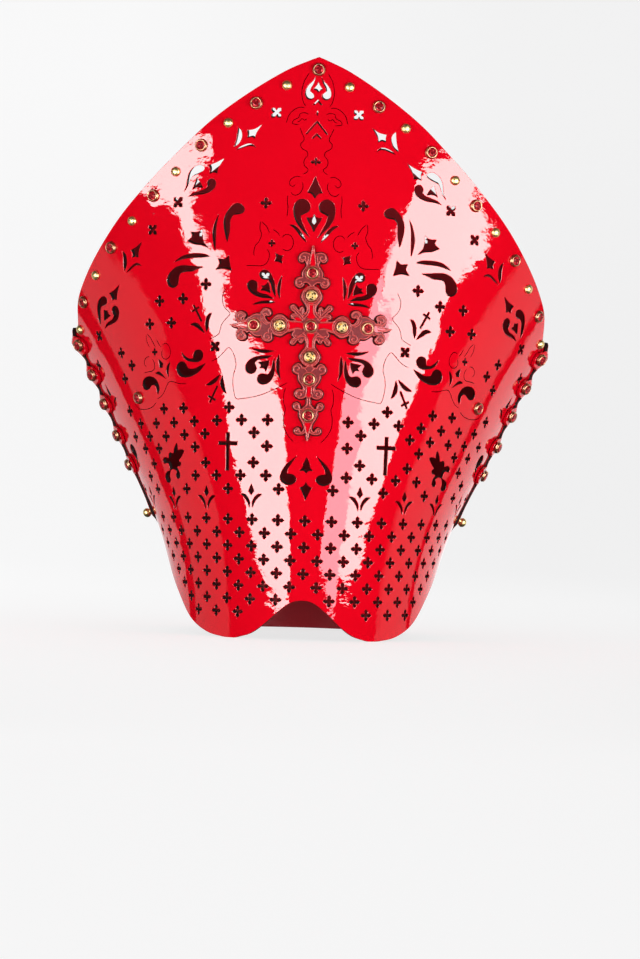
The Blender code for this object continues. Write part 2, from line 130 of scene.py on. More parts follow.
# Studio light: two tall soft lamps stand round the mitre, and pale boards beside and behind it. Each is
# an outline on a drum of one metre round it, by its turn from the front in degrees and its height, with
# its brightness, its tint and how far the light falls off at its own rim.
LAMP_DRUM = 1000.0
CARD_STRIP_DEGREES, CARD_STRIP_HEIGHT = 4.0, 60
lit_by_lamps = bpy.data.collections.new("lit_by_lamps")
LAMPS = {
    "left_lamp": (
        16.6, (1.0, 1.0, 0.985), 1.0,
        ((-62, 306), (-55, 356), (-48, 392), (-42, 405), (-38, 417), (-33, 423), (-33, 405), (-38, 377),
         (-42.5, 347), (-43, 328), (-41.5, 314), (-35.5, 299), (-32.2, 290), (-32, 276), (-35, 262),
         (-36, 250), (-33, 232),
         (-28, 218), (-22, 204), (-16, 188), (-13.5, 160), (-12.5, 110), (-11, 70), (-10.5, 20), (-10, -45),
         (-14, -62), (-20, -62), (-28, -42), (-36, -20), (-41, 0), (-43, 25), (-46, 50), (-45, 80),
         (-43.5, 120), (-45, 180), (-45.5, 221), (-44.5, 246), (-46.7, 269), (-48.7, 283), (-49.3, 305),
         (-51.7, 315), (-57.8, 297)),
    ),
    "right_lamp": (
        16.6, (1.0, 1.0, 0.985), 1.0,
        ((35.5, 403), (41.6, 393), (46, 385), (52, 369), (60, 328), (53.2, 326), (57.3, 310), (59.3, 294),
         (62, 269), (67.1, 242), (64.7, 232), (61.7, 226), (58.2, 217), (56, 204), (56, 168), (57, 140),
         (56, 100), (52, 50), (50, 0), (47, -22), (38, -42), (31, -40), (29, -20),
         (27, 0), (30, 30), (27, 70), (31, 110), (26, 150), (29, 185), (35, 205), (33, 240), (28, 262),
         (28.2, 312), (30.3, 335), (30.6, 352), (32.3, 360), (34, 399)),
    ),
    "right_lamp_edge": (
        10.0, (1.0, 0.88, 0.99), 1.0,
        ((27, -60), (21, -50), (17, -25), (12, -10), (13, 20), (15, 60), (16.5, 100), (17.5, 150), (18, 185),
         (20, 205), (23, 230), (24.5, 262), (26, 300), (28.5, 325), (31, 350), (33, 350), (31, 330),
         (27.4, 300), (28.2, 262), (33.2, 240), (35.2, 205), (29.2, 185), (26.2, 150), (31.2, 110),
         (27.2, 70), (30.2, 30), (27.2, 0), (29.2, -20)),
    ),
    "left_board": (
        0.55, (1.0, 0.98, 0.97), 0.1,
        ((-106, -300), (-106, 300), (-90, 235), (-80, 195), (-71, 160), (-67, 100), (-71, 60), (-66, 20),
         (-63, -100), (-63, -300)),
    ),
    "right_board": (
        0.75, (1.0, 0.98, 0.97), 0.1,
        ((65, -300), (67, -50), (70, 30), (73, 80), (76, 130), (81, 190), (88, 250), (97, 330), (105, 350),
         (105, -300)),
    ),
    "left_wall": (0.95, (1.0, 1.0, 1.0), 0.35, ((-170, -300), (-170, 900), (-116, 900), (-116, -300))),
    "right_wall": (1.3, (1.0, 1.0, 1.0), 0.35, ((110, -300), (110, 900), (170, 900), (170, -300))),
}
for name, (brightness, tint, at_rim, outline) in LAMPS.items():
    card = bmesh.new()
    verts = [card.verts.new((turn, 0.0, height)) for turn, height in outline]
    edges = [card.edges.new(pair) for pair in zip(verts, verts[1:] + verts[:1])]
    bmesh.ops.triangle_fill(card, use_beauty=True, edges=edges)
    cuts = [((turn, 0, 0), (1, 0, 0)) for turn in np.arange(-169.0, 170.0, CARD_STRIP_DEGREES)]
    cuts += [((0, 0, height), (0, 0, 1)) for height in range(-270, 900, CARD_STRIP_HEIGHT)]
    for place, normal in cuts:
        whole = card.verts[:] + card.edges[:] + card.faces[:]
        bmesh.ops.bisect_plane(card, geom=whole, plane_co=place, plane_no=normal, dist=1e-4)
    for vert in card.verts:
        turn = math.radians(vert.co.x)
        vert.co = Vector((LAMP_DRUM * math.sin(turn), -LAMP_DRUM * math.cos(turn), vert.co.z)) * MM
    mesh = bpy.data.meshes.new(name)
    card.to_mesh(mesh)
    rim = {v.index for v in card.verts if v.is_boundary}
    card.free()
    shine = mesh.attributes.new("shine", "FLOAT", "POINT")
    for i, value in enumerate(shine.data):
        value.value = at_rim if i in rim else 1.0
    glow = bpy.data.materials.new(name)
    glow.use_nodes = True
    glow.node_tree.nodes.remove(glow.node_tree.nodes["Principled BSDF"])
    light = glow.node_tree.nodes.new("ShaderNodeEmission")
    light.inputs["Color"].default_value = (*tint, 1.0)
    level = glow.node_tree.nodes.new("ShaderNodeAttribute")
    level.attribute_name = "shine"
    power = glow.node_tree.nodes.new("ShaderNodeMath")
    power.operation = "MULTIPLY"
    power.inputs[1].default_value = brightness
    glow.node_tree.links.new(level.outputs["Fac"], power.inputs[0])
    glow.node_tree.links.new(power.outputs["Value"], light.inputs["Strength"])
    glow.node_tree.links.new(
        light.outputs["Emission"], glow.node_tree.nodes["Material Output"].inputs["Surface"]
    )
    mesh.materials.append(glow)
    lamp = bpy.data.objects.new(name, mesh)
    bpy.context.scene.collection.objects.link(lamp)
    lamp.visible_camera = False
    lamp.visible_shadow = False
    # The walls show in the gloss alone, so that they don't shade the paper.
    lamp.visible_diffuse = not name.endswith("wall")
    lamp.light_linking.receiver_collection = lit_by_lamps

# The air round it: near white where the camera sees past the mitre, soft on dull surfaces, dark in gloss.
SEEN_WHITE, FILL, GLOSS_DARK = 0.925, 0.55, 0.015
room = bpy.data.worlds.new("room")
bpy.context.scene.world = room
room.use_nodes = True
tree = room.node_tree
rays = tree.nodes.new("ShaderNodeLightPath")
seen = tree.nodes.new("ShaderNodeMix")
seen.inputs["A"].default_value = FILL
seen.inputs["B"].default_value = SEEN_WHITE
gloss = tree.nodes.new("ShaderNodeMix")
gloss.inputs["B"].default_value = GLOSS_DARK
tree.links.new(rays.outputs["Is Camera Ray"], seen.inputs["Factor"])
tree.links.new(rays.outputs["Is Glossy Ray"], gloss.inputs["Factor"])
tree.links.new(seen.outputs["Result"], gloss.inputs["A"])
tree.nodes["Background"].inputs["Color"].default_value = (1.0, 1.0, 1.0, 1.0)
tree.links.new(gloss.outputs["Result"], tree.nodes["Background"].inputs["Strength"])

# The front panel is one sheet of red patent leather, cut and pierced flat and then bent to a deep arc. Its
# gloss coat is smooth but not flat, so a lamp's edge breaks up on it, and its cut edges are dyed black.
LEATHER = 2.5
GAP = 0.3
FRONT_BULGE = 115.5
BULGE_GROWTH = 0.0256
BACK_DEEPER = 3.2
SEAM_TUCK = 1.0
RIM_ROUND = 0.3
CORNER_LIMIT = 0.75
KNIFE_SLANT = (0.3, 0.62)
CROWN_HEIGHT = 439.0
SIDES = (
    (0, 97.5), (30, 101.0), (60, 108.0), (95, 121.5), (130, 138.5), (165, 154.8), (200, 171.2),
    (240, 191.2), (340, 231.3), (440, 270.5),
)
CROWN_EDGE = (
    (0, CROWN_HEIGHT), (8, 435.8), (25, 428), (52, 411.5), (80, 391.5), (105, 369.5), (130, 347),
    (157, 322), (180, 298.5), (201, 276.5), (217, 258.5), (225.5, 241),
)
MASK_EDGE = (
    (181, 94), (172, 77), (160, 62), (145, 47), (125, 31), (103, 13), (82, 3.5), (66, 0.5), (60, 0),
    (54, 0), (49.5, 1), (39.6, 4), (30, 10.5), (20, 19.5), (9, 28), (0, 30),
)


def natural_spline(rows):
    """The smoothest curve through the rows, as a function of their first column."""
    at = np.array([row[0] for row in rows], float)
    value = np.array([row[1] for row in rows], float)
    step = np.diff(at)
    slope = np.diff(value) / step
    system, right = np.eye(len(at)), np.zeros(len(at))
    for i in range(1, len(at) - 1):
        system[i, i - 1 : i + 2] = step[i - 1], 2 * (step[i - 1] + step[i]), step[i]
        right[i] = 6 * (slope[i] - slope[i - 1])
    bend = np.linalg.solve(system, right)

    def curve(x):
        i = min(max(int(np.searchsorted(at, x)) - 1, 0), len(at) - 2)
        a, b = (at[i + 1] - x) / step[i], (x - at[i]) / step[i]
        curved = ((a**3 - a) * bend[i] + (b**3 - b) * bend[i + 1]) * step[i] ** 2 / 6
        return float(a * value[i] + b * value[i + 1] + curved)

    return curve


half_width = natural_spline(SIDES)


def section(height, deeper=0.0):
    """Radius, bulge and distance from centre line to corner of a panel's arc at this height."""
    bulge = FRONT_BULGE + deeper + BULGE_GROWTH * height
    radius = (half_width(height) ** 2 + bulge**2) / (2 * bulge)
    return radius, bulge, radius * math.acos((radius - bulge) / radius)


def bend_front(across, depth, height):
    """Where a point of the flat front panel comes to lie, this deep under its outer face."""
    radius, bulge, _ = section(height)
    angle = across / radius
    return Vector((
        (radius - depth) * math.sin(angle), radius - bulge - (radius - depth) * math.cos(angle), height
    ))


def smooth_line(points, spacing, last=None):
    """Points about this far apart on a smooth line through the given ones."""
    points = [Vector(p) for p in points]
    ends = [
        2 * points[0] - points[1],
        Vector(last) if last else 2 * points[-1] - points[-2],
    ]
    chain = [ends[0], *points, ends[1]]
    line = []
    for a, b, c, d in zip(chain, chain[1:], chain[2:], chain[3:]):
        steps = max(1, math.ceil((c - b).length / spacing))
        for i in range(steps):
            t = i / steps
            square, cube = 2 * a - 5 * b + 4 * c - d, 3 * b - a - 3 * c + d
            line.append(0.5 * (2 * b + (c - a) * t + square * t**2 + cube * t**3))
    return line + [points[-1]]


def mirrored(half):
    """A closed outline from its half, whose first and last points lie on the centre line."""
    return half + [Vector((-p.x, p.y)) for p in reversed(half[1:-1])]


GAP_SPACING = 1.5


def cut_out(stretches):
    """A closed outline of smooth stretches that meet at corners."""
    ring = []
    for stretch in stretches:
        ring += smooth_line(stretch, GAP_SPACING)[:-1]
    return ring


def half_cut_out(stretches, spacing=GAP_SPACING):
    """A gap on the centre line, from the smooth stretches of its one half."""
    half = []
    for stretch in stretches:
        half += smooth_line(stretch, spacing)[:-1]
    return mirrored(half + [Vector(stretches[-1][-1])])


def turned_about(points, across, height, turn, size=1.0):
    """Points of a small pattern, turned, scaled and put in their place."""
    c, s = size * math.cos(math.radians(turn)), size * math.sin(math.radians(turn))
    return [Vector((across + c * x - s * y, height + s * x + c * y)) for x, y in points]


# A quatrefoil's petal: from the notch out along one edge to its point, and back to the next notch.
PETAL = ((1.1, -1.1), (1.9, -1.22), (2.8, -1.6), (3.6, -1.2), (4.7, 0), (3.6, 1.2), (2.8, 1.6), (1.9, 1.22))
QUATREFOILS = (
    (31.1, 396.3, 45, 1.08), (106.5, 329.2, 45, 1.08), (128.5, 308.8, 45, 1.08), (194.2, 230.4, 45, 1.1),
    (73.8, 220.1, 45, 1.05), (36.8, 328.5, 0, 0.95), (82.2, 267.1, 0, 1), (101.4, 256.3, 0, 1),
    (122.5, 254.8, 0, 1), (111.9, 238.2, 0, 1), (132.5, 237.5, 0, 1), (167, 216.3, 0, 1),
    (155.5, 206.6, 0, 1), (167, 196.6, 0, 1), (206.6, 208.3, 10, 1), (167, 171.8, 0, 1.05),
    (31.4, 298.3, 0, 0.62), (128.8, 216.2, 0, 0.66),
)
# Rows of the mask's pattern: height, first and last place from the centre line, in pitches.
DIAPER_PITCH = 20.35
DIAPER = (
    (90, 0, 7), (80, 0.5, 7.5), (70, 0, 7), (60, 0.5, 6.5), (50, 0, 6), (40, 0.5, 5.5), (30, 1, 5),
    (20, 2.5, 4.5),
)
# Rows of the band over it: height at the centre, fall towards the side, and places across.
BAND_ROWS = (
    (113.5, 2.2, (20.5, 61.2, 101.3, 142, 178)),
    (123.6, 2.3, (30.6, 51, 71.5, 91.4, 151.2)),
    (133.3, 2.4, (40.8, 81.3, 141.2)),
    (145.8, 3.2, (30.5, 91.3, 131.2, 151.2)),
    (156.1, 4.2, (40.8, 82, 101.5, 121.4, 142, 165.2)),
    (165.6, 3.7, (30.5, 51, 71.4, 91.6, 111.8, 131.8, 153)),
    (174.8, 1.9, (61.4, 101.8, 122)),
)
# Sprigs over the mask: across, height of the leaves' tips.
SPRIGS = ((41.8, 109.2), (80.8, 107.3), (117.4, 106.2), (160.5, 106.4))
SPRIG_LEAF = (
    ((8.9, 0.2), (4.8, -0.2), (1.9, -3.6), (0.8, -7), (1.2, -10.6)),
    ((1.2, -10.6), (3, -6), (5.7, -2.6), (8.9, 0.2)),
)
SPRIG_BUD = (((0, 7.8), (1.3, 4.8), (2.3, 2.3)), ((2.3, 2.3), (1.1, 0.8), (0, -0.8)))
# Gaps that stand on both sides of the centre line, each by its smooth stretches.
SIDE_GAPS = (
    # pendant round the head of the centre
    (((2, 424.6), (3.8, 421), (7, 417.8), (9.4, 413.8), (9.7, 410), (8.2, 407.4), (5.6, 406.6),
      (3.4, 408), (3.1, 410), (4.2, 411.5), (6.2, 413)), ((6.2, 413), (5.6, 415.5), (4, 418.2),
      (2.9, 421.2), (2, 424.6))),
    # lily under the third stud
    (((60, 385.2), (60.4, 380), (61.4, 374.5), (62.8, 370)),
     ((62.8, 370), (59, 373), (57, 377), (56.8, 380.5), (58, 383.5), (60, 385.2))),
    (((41.6, 387.4), (47, 384), (52.8, 382.8)), ((52.8, 382.8), (52.2, 380), (52.6, 377.2)),
     ((52.6, 377.2), (49, 378), (46.8, 376.5)), ((46.8, 376.5), (45.8, 381), (41.6, 387.4))),
    (((61, 368), (57, 371), (51.5, 373), (48, 372.2), (45.3, 369.6)),
     ((45.3, 369.6), (48, 371), (51.5, 371.2), (56, 369.8), (61, 368))),
    # palmette under the fifth stud
    (((69.8, 362), (76, 358.8), (82, 356.6)), ((82, 356.6), (80.8, 353.5), (81.4, 350.2)),
     ((81.4, 350.2), (78, 351.3), (75.3, 350.5)), ((75.3, 350.5), (74, 355.5), (69.8, 362))),
    (((102, 336.8), (100, 341), (99.2, 346), (98, 350.6), (95, 354.6), (91, 356.8), (87.5, 356.6),
      (85.6, 355), (86, 353.2), (88.5, 351.4), (92.5, 349.6)), ((92.5, 349.6), (95.5, 348.3),
      (97.4, 344.5), (99.3, 340.3), (102, 336.8))),
    (((91.6, 347.4), (93, 343), (95, 338.6)), ((95, 338.6), (91, 340.2), (86.2, 339.6)),
     ((86.2, 339.6), (88, 343), (91.6, 347.4))),
    (((98.3, 333.2), (92, 334.4), (86, 335), (81, 336.6), (77.2, 339.5), (76, 343), (77, 345.8),
      (79.6, 346.8), (82, 345.8), (83, 343.4), (82.6, 340.8)), ((82.6, 340.8), (85, 338.8), (90, 337.2),
      (94, 336), (98.3, 333.2))),
    # commas, crescent and leaves between the cross and the shoulder
    (((66, 298.6), (67.5, 303.5), (69, 310), (69, 316), (67, 321.2), (63.6, 325.6), (59.5, 328.2),
      (55.5, 327.2), (53, 324.4), (53.6, 321.6), (56.5, 320), (61.5, 319.4)), ((61.5, 319.4),
      (63.8, 315.5), (63.9, 310), (64.6, 304), (66, 298.6))),
    (((72.9, 320.3), (76, 314), (77.8, 306.5), (77.2, 299), (75.3, 291.8)),
     ((75.3, 291.8), (75, 299), (74.9, 306), (74.5, 312.5), (72.9, 320.3))),
    (((86, 308.8), (90, 306.5), (95.6, 306.6)), ((95.6, 306.6), (94.4, 303.2), (98.4, 299.8)),
     ((98.4, 299.8), (92.5, 297.3), (86, 296.4), (80.4, 294.2)), ((80.4, 294.2), (84.5, 298.6),
      (85.8, 303.2), (86, 308.8))),
    (((64.2, 289), (67.5, 286.2), (73, 286.5)), ((73, 286.5), (71.6, 282.5), (74.7, 278)),
     ((74.7, 278), (68, 278.8), (61.8, 277.3)), ((61.8, 277.3), (63.4, 283), (64.2, 289))),
    (((109.3, 284), (104.5, 287.6), (98.5, 289.8), (90, 290.4), (83, 289.6), (79.4, 288)),
     ((79.4, 288), (85, 287.4), (92, 287.2), (100, 286.5), (109.3, 284))),
    (((84.3, 280.1), (90, 280.6), (98, 281.4), (104, 281.4), (109.5, 279.4), (114, 275), (115.7, 270),
      (114.2, 266.3), (111, 264.6), (107.6, 265.2), (105.6, 268), (105.2, 272)),
     ((105.2, 272), (103.6, 275.4), (99.5, 276.6), (94, 276.8), (90, 278.4), (84.3, 280.1))),
    (((28.4, 290.8), (25, 289.6), (22.4, 289)), ((22.4, 289), (23.6, 286), (23, 283)),
     ((23, 283), (26, 284.4), (29, 284.6)), ((29, 284.6), (27.8, 287.5), (28.4, 290.8))),
    # lily at the shoulder
    (((157.6, 294), (156.8, 289), (156.9, 283), (156.2, 278)),
     ((156.2, 278), (153.9, 282), (153.2, 286.5), (154.3, 291), (157.6, 294))),
    (((138.5, 300.2), (143.5, 296.8), (149, 294.2)), ((149, 294.2), (147.4, 291.2), (148, 288)),
     ((148, 288), (145, 289), (142, 288.2)), ((142, 288.2), (141.2, 293.5), (138.5, 300.2))),
    (((154.8, 276.6), (150.5, 280.8), (145.5, 283.9), (141.8, 283.8), (138.8, 281.6)),
     ((138.8, 281.6), (142, 282.5), (146, 281.7), (150, 279.2), (154.8, 276.6))),
    # palmette at the shoulder
    (((162, 268.8), (168, 264.6), (174.2, 262.2)), ((174.2, 262.2), (172, 259.5), (171.5, 256.3)),
     ((171.5, 256.3), (168.5, 257.4), (166, 256.8)), ((166, 256.8), (165, 261.5), (162, 268.8))),
    (((189.5, 237.8), (191.2, 243), (191.2, 250), (189.3, 255.5), (185.5, 259), (181, 260.2),
      (177.8, 258.6), (177.6, 255.6), (180, 253.6), (184.5, 252.8)), ((184.5, 252.8), (187, 249.5),
      (187.8, 244), (189.5, 237.8))),
    (((182.5, 250.2), (180.5, 249.2), (178, 249.4)), ((178, 249.4), (177, 246.5), (174.6, 245.2)),
     ((174.6, 245.2), (178.5, 243.6), (184.2, 241.2)), ((184.2, 241.2), (183.4, 245.5), (182.5, 250.2))),
    (((184.8, 235.3), (179.5, 237.6), (174, 238.8), (169, 240.4), (165.6, 243.6), (164.4, 247.6),
      (165.6, 251), (168.8, 252.6), (171.8, 251.2), (172.6, 248), (171.2, 244.8)), ((171.2, 244.8),
      (173.5, 242.2), (178, 240.6), (181.5, 239), (184.8, 235.3))),
    # palmettes over and under the arms of the cross
    (((27.2, 257.6), (27.6, 263), (28.4, 268.6), (30.6, 274), (34, 277.8), (37.4, 278.2), (40, 275.8),
      (39.6, 272.6), (37, 270.8), (33.6, 270.9)), ((33.6, 270.9), (31.4, 268), (30, 263), (27.2, 257.6))),
    (((28.6, 256.2), (33, 256.9), (39, 257.4), (44.5, 259.6), (48.3, 263), (49.4, 267), (47.4, 270),
      (44.4, 270.4), (41.8, 268.6), (41.4, 265), (41.8, 262.2)), ((41.8, 262.2), (38.5, 260.6),
      (33.5, 259.6), (28.6, 256.2))),
    (((33.4, 269.6), (35.5, 266.8), (38.8, 266.4)), ((38.8, 266.4), (37.4, 264.8), (39.4, 262.8)),
     ((39.4, 262.8), (35, 262.2), (31.2, 260.6)), ((31.2, 260.6), (31.8, 265), (33.4, 269.6))),
    (((22.8, 274.6), (25.4, 269), (26.2, 263), (24.2, 256.4)), ((24.2, 256.4), (23.9, 263), (23.4, 269),
      (22.8, 274.6))),
    (((45.2, 251.8), (40.5, 254.2), (34, 255.2), (30, 255), (27.2, 254.2)),
     ((27.2, 254.2), (31, 253), (37, 252.9), (45.2, 251.8))),
    (((28.4, 214), (34.5, 213.6), (40.5, 212.9), (45.2, 210.8), (48.4, 207), (48.9, 203.2), (46.9, 200.4),
      (44, 199.8), (41.4, 201.2), (40.2, 204), (41.8, 208)), ((41.8, 208), (40.2, 210), (36.5, 211.2),
      (32, 211.8), (28.4, 214))),
    (((26.8, 212.4), (26.2, 206), (26.6, 200), (28.6, 195.6), (31.6, 192.8), (35.4, 191.9), (38.4, 193.2),
      (39.6, 196.2), (38.2, 199.2), (35.4, 200.2), (32.4, 199.4), (30.2, 200.4)),
     ((30.2, 200.4), (28.8, 204), (28, 208.5), (26.8, 212.4))),
    (((39.4, 208.6), (35.5, 209.3), (30.6, 210.2)), ((30.6, 210.2), (31.4, 206), (33, 201.8)),
     ((33, 201.8), (34.6, 204.2), (37.8, 204.2)), ((37.8, 204.2), (36.8, 206.6), (39.4, 208.6))),
    (((23.6, 215.2), (25.2, 209), (24.7, 202), (21.4, 195.4)), ((21.4, 195.4), (22.6, 202), (22.6, 209),
      (23.6, 215.2))),
    (((45.2, 219.4), (39.5, 218.4), (33.5, 218.2), (26.4, 217.4)),
     ((26.4, 217.4), (31, 216.2), (36, 215.8), (40.5, 217), (45.2, 219.4))),
    # small crosses with two leaves each
    (((76.8, 245.6), (80, 244), (82, 240), (82.2, 235), (81, 230.8)), ((81, 230.8), (79.6, 235),
      (79, 240), (76.8, 245.6))),
    (((95.3, 236.6), (91.5, 238.2), (88, 237.2), (85, 234), (82.4, 230)), ((82.4, 230), (87, 232.6),
      (91, 235.2), (95.3, 236.6))),
    (((69, 199.4), (74, 196), (81.4, 191)), ((81.4, 191), (77.5, 190.8), (73.5, 192.6), (70.6, 196),
      (69, 199.4))),
    (((67.2, 198.8), (69, 194), (68.8, 190.4), (66.8, 186.8), (63.6, 184.4)), ((63.6, 184.4), (65, 188.5),
      (66.2, 193.5), (67.2, 198.8))),
    # scrolls, small lily and hook beside them
    (((81.4, 207.8), (84.6, 203.6), (88.4, 200.2), (93.6, 197.6), (99, 196.7), (104, 197.4), (107, 200.2),
      (107.9, 203.8), (106.4, 207.2), (102.8, 208.9), (99.4, 207.6), (97, 203.6)),
     ((97, 203.6), (92.5, 203.2), (87, 205.2), (81.4, 207.8))),
    (((103.3, 216.3), (101, 211.8), (97.4, 209.2), (92, 208.3), (87.4, 208.6), (84.4, 211), (83.7, 214.4),
      (85.4, 217), (88.4, 217.8), (91.2, 216.6), (92.2, 213.6), (92.6, 211.2)), ((92.6, 211.2),
      (96.5, 211.2), (100, 213.2), (103.3, 216.3))),
    (((125.3, 211), (123, 209.4), (120.6, 207.4)), ((120.6, 207.4), (121.4, 204.4)), ((121.4, 204.4),
      (124.7, 204.4)), ((124.7, 204.4), (124.6, 207.5), (125.3, 211))),
    (((113.6, 208.8), (116.6, 206), (117.6, 201.5), (115.6, 196.4)), ((115.6, 196.4), (115.4, 202),
      (113.6, 208.8))),
    (((129.6, 200), (126, 201.4), (122.5, 199.8), (117.8, 195.4)), ((117.8, 195.4), (122, 197.6),
      (125.5, 199), (129.6, 200))),
    (((127.6, 183.4), (125.8, 187), (125.9, 191), (128.2, 194.8), (132, 197.2), (136.6, 197.9),
      (141, 196.8), (144, 194.2), (144.9, 190.8), (143, 188.2), (139.8, 187.5), (136.6, 188.6),
      (134.4, 190.8)), ((134.4, 190.8), (131, 191.2), (129, 189), (128.7, 186.2), (127.6, 183.4))),
    # slits and comma close to the seam
    (((203.6, 194.4), (200, 189.6), (196, 185.4)), ((196, 185.4), (198.6, 184.6), (199.8, 181.8)),
     ((199.8, 181.8), (202.6, 186.5), (203.6, 194.4))),
    (((186.6, 183.2), (191.5, 182.2), (194.8, 178.4), (195.4, 172.2)), ((195.4, 172.2), (193.4, 176),
      (190.6, 180), (186.6, 183.2))),
    (((178.8, 126.4), (174.4, 130.6), (171.6, 135.4), (171, 140), (173.6, 144.4), (178, 146.5),
      (182, 145.6), (184.2, 142.6), (182.8, 139.6), (179.6, 138), (177, 136.4)), ((177, 136.4),
      (176.2, 133), (178.8, 126.4))),
    # upright cross of the band, and the leaning lily
    (((60.4, 126.5), (63.3, 126.5)), ((63.3, 126.5), (63.3, 145.8)), ((63.3, 145.8), (69.8, 145.8)),
     ((69.8, 145.8), (69.8, 148.6)), ((69.8, 148.6), (63.3, 148.6)), ((63.3, 148.6), (63.3, 155.4)),
     ((63.3, 155.4), (60.4, 155.4)), ((60.4, 155.4), (60.4, 148.6)), ((60.4, 148.6), (54, 148.6)),
     ((54, 148.6), (54, 145.8)), ((54, 145.8), (60.4, 145.8)), ((60.4, 145.8), (60.4, 126.5))),
    (((108.8, 141.2), (109, 144.4), (109.9, 147), (112.8, 143.2), (114.2, 138.8)), ((114.2, 138.8),
      (116, 139.2), (118, 139.8), (119.8, 138), (120.2, 135)), ((120.2, 135), (123.4, 136),
      (126.4, 135.4), (127.8, 133.2), (126.6, 131), (124.6, 131.2)), ((124.6, 131.2), (122, 131.6),
      (120.2, 129.2), (119.8, 126)), ((119.8, 126), (123.5, 124.8), (126.7, 122.6), (127, 119.2),
      (125.2, 116.8), (121.8, 116.4), (119.8, 118.4), (120.4, 122), (118.6, 126)), ((118.6, 126),
      (116, 126.8), (113.6, 126.6)), ((113.6, 126.6), (111.4, 124.8), (112.8, 122.6), (112.2, 120),
      (110, 119.4), (108, 121), (108.3, 124.4), (110.6, 127.8)), ((110.6, 127.8), (109.6, 129.2),
      (107.4, 129), (106, 131.4), (108.4, 133.4)), ((108.4, 133.4), (105, 136.8), (102.3, 141),
      (105.6, 142), (108.8, 141.2))),
    # drops beside the arrow over the brow
    (((7.2, 139.2), (11, 136), (15.4, 132), (18.6, 126.8), (19.8, 122.2), (18.3, 119), (15, 117),
      (11.2, 117), (8.2, 119), (7.4, 121.6), (9, 124.2), (12, 125.2), (14.6, 125.4)), ((14.6, 125.4),
      (14, 128.6), (11.8, 132.4), (9.4, 136), (7.2, 139.2))),
    # lyre and slim leaf in the crown
    (((2.6, 302.6), (6.5, 306.5), (11.5, 311.8), (14.8, 317.5), (15.9, 324), (14.6, 329), (11, 332),
      (7, 331.8), (3.9, 329), (3.2, 325.5), (4.4, 322.7), (7, 321.2), (10.2, 319.6)), ((10.2, 319.6),
      (9.4, 315.5), (6.6, 309.5), (4.4, 305.5), (2.6, 302.6))),
    (((18.8, 312.6), (15, 312.3), (11, 309.3), (7.6, 304.4), (5.4, 299.3)), ((5.4, 299.3), (10, 303.8),
      (14.4, 309.4), (18.8, 312.6))),
)
# Gaps on the centre line, by the smooth stretches of one half.
CENTRE_GAPS = (
    (((0, 420.2), (1.3, 417.3), (3.6, 414.2)), ((3.6, 414.2), (1.6, 414), (0, 412.2))),
    (((0, 407), (3.5, 403.2)), ((3.5, 403.2), (2.6, 402.6)), ((2.6, 402.6), (0, 405.3))),
    (((0, 398.8), (0.7, 397), (0.5, 395.5), (0, 394.3)),),
    (((0, 391.4), (8.4, 381)), ((8.4, 381), (7.5, 380.6)), ((7.5, 380.6), (0, 389.5))),
    (((0, 381.8), (3.6, 378)), ((3.6, 378), (2.8, 377.4)), ((2.8, 377.4), (0, 380))),
    (((0, 363.6), (1.1, 362), (0.8, 360.9)), ((0.8, 360.9), (2.5, 361.4), (3.8, 360), (2.6, 358.7),
      (0.8, 359.5)), ((0.8, 359.5), (0.5, 358), (0, 356.8))),
    (((0, 349.3), (3, 342.5), (5.8, 336.8)), ((5.8, 336.8), (2.8, 336.2), (0, 332.6))),
    (((0, 321), (0.9, 319.2), (3, 318.2), (6, 318.4)), ((6, 318.4), (4.4, 315), (1.8, 311), (0, 307))),
    (((0, 138.2), (2, 134), (3, 130.6), (5.1, 127.6)), ((5.1, 127.6), (2, 127.8), (0, 125.6))),
    (((0, 119.8), (1.6, 116.8), (4.5, 115)), ((4.5, 115), (2.6, 111.4), (0.8, 107.4), (0, 105.2))),
)
# Small crosses that lean: foot, head, the bar's place along them, half its length, half the stroke.
LEANING_CROSSES = (
    ((85.4, 239), (92.3, 251.4), 0.74, 3.4, 0.75),
    ((71.4, 190.4), (77.7, 177.6), 0.72, 3.5, 0.75),
)


def leaning_cross(foot, head, share, bar, stroke):
    """The outline of a small cross cut along this line."""
    foot, head = Vector(foot), Vector(head)
    length = (head - foot).length
    turn = math.degrees(math.atan2(head.y - foot.y, head.x - foot.x))
    at = share * length
    points = [
        (0, -stroke), (at - stroke, -stroke), (at - stroke, -bar), (at + stroke, -bar),
        (at + stroke, -stroke), (length, -stroke), (length, stroke), (at + stroke, stroke),
        (at + stroke, bar), (at - stroke, bar), (at - stroke, stroke), (0, stroke),
    ]
    return turned_about(points, foot.x, foot.y, turn)


foil = [p for i in range(4) for p in turned_about(PETAL, 0, 0, 90 * i)]


def front_gaps():
    """The outline of every gap in the front panel."""
    one_side = [cut_out(stretches) for stretches in SIDE_GAPS]
    one_side += [leaning_cross(*row) for row in LEANING_CROSSES]
    one_side += [turned_about(foil, *row) for row in QUATREFOILS]
    for height, fall, places in BAND_ROWS:
        for across in places:
            one_side.append(turned_about(foil, across, height - fall * min(1, (across / 120) ** 2), 0))
    for across, height in SPRIGS:
        bud = half_cut_out(SPRIG_BUD)
        one_side.append([Vector((across + p.x, height + p.y)) for p in bud])
        leaf = cut_out(SPRIG_LEAF)
        for flip in (1, -1):
            one_side.append([Vector((across + flip * p.x, height + p.y)) for p in leaf])
    gaps = []
    for height, first, last in DIAPER:
        for i in range(round(last - first) + 1):
            across = (first + i) * DIAPER_PITCH
            (one_side if across else gaps).append(turned_about(foil, across, height, 0))
    gaps += [half_cut_out(stretches) for stretches in CENTRE_GAPS]
    for gap in one_side:
        gaps += [gap, [Vector((-p.x, p.y)) for p in gap]]
    return gaps


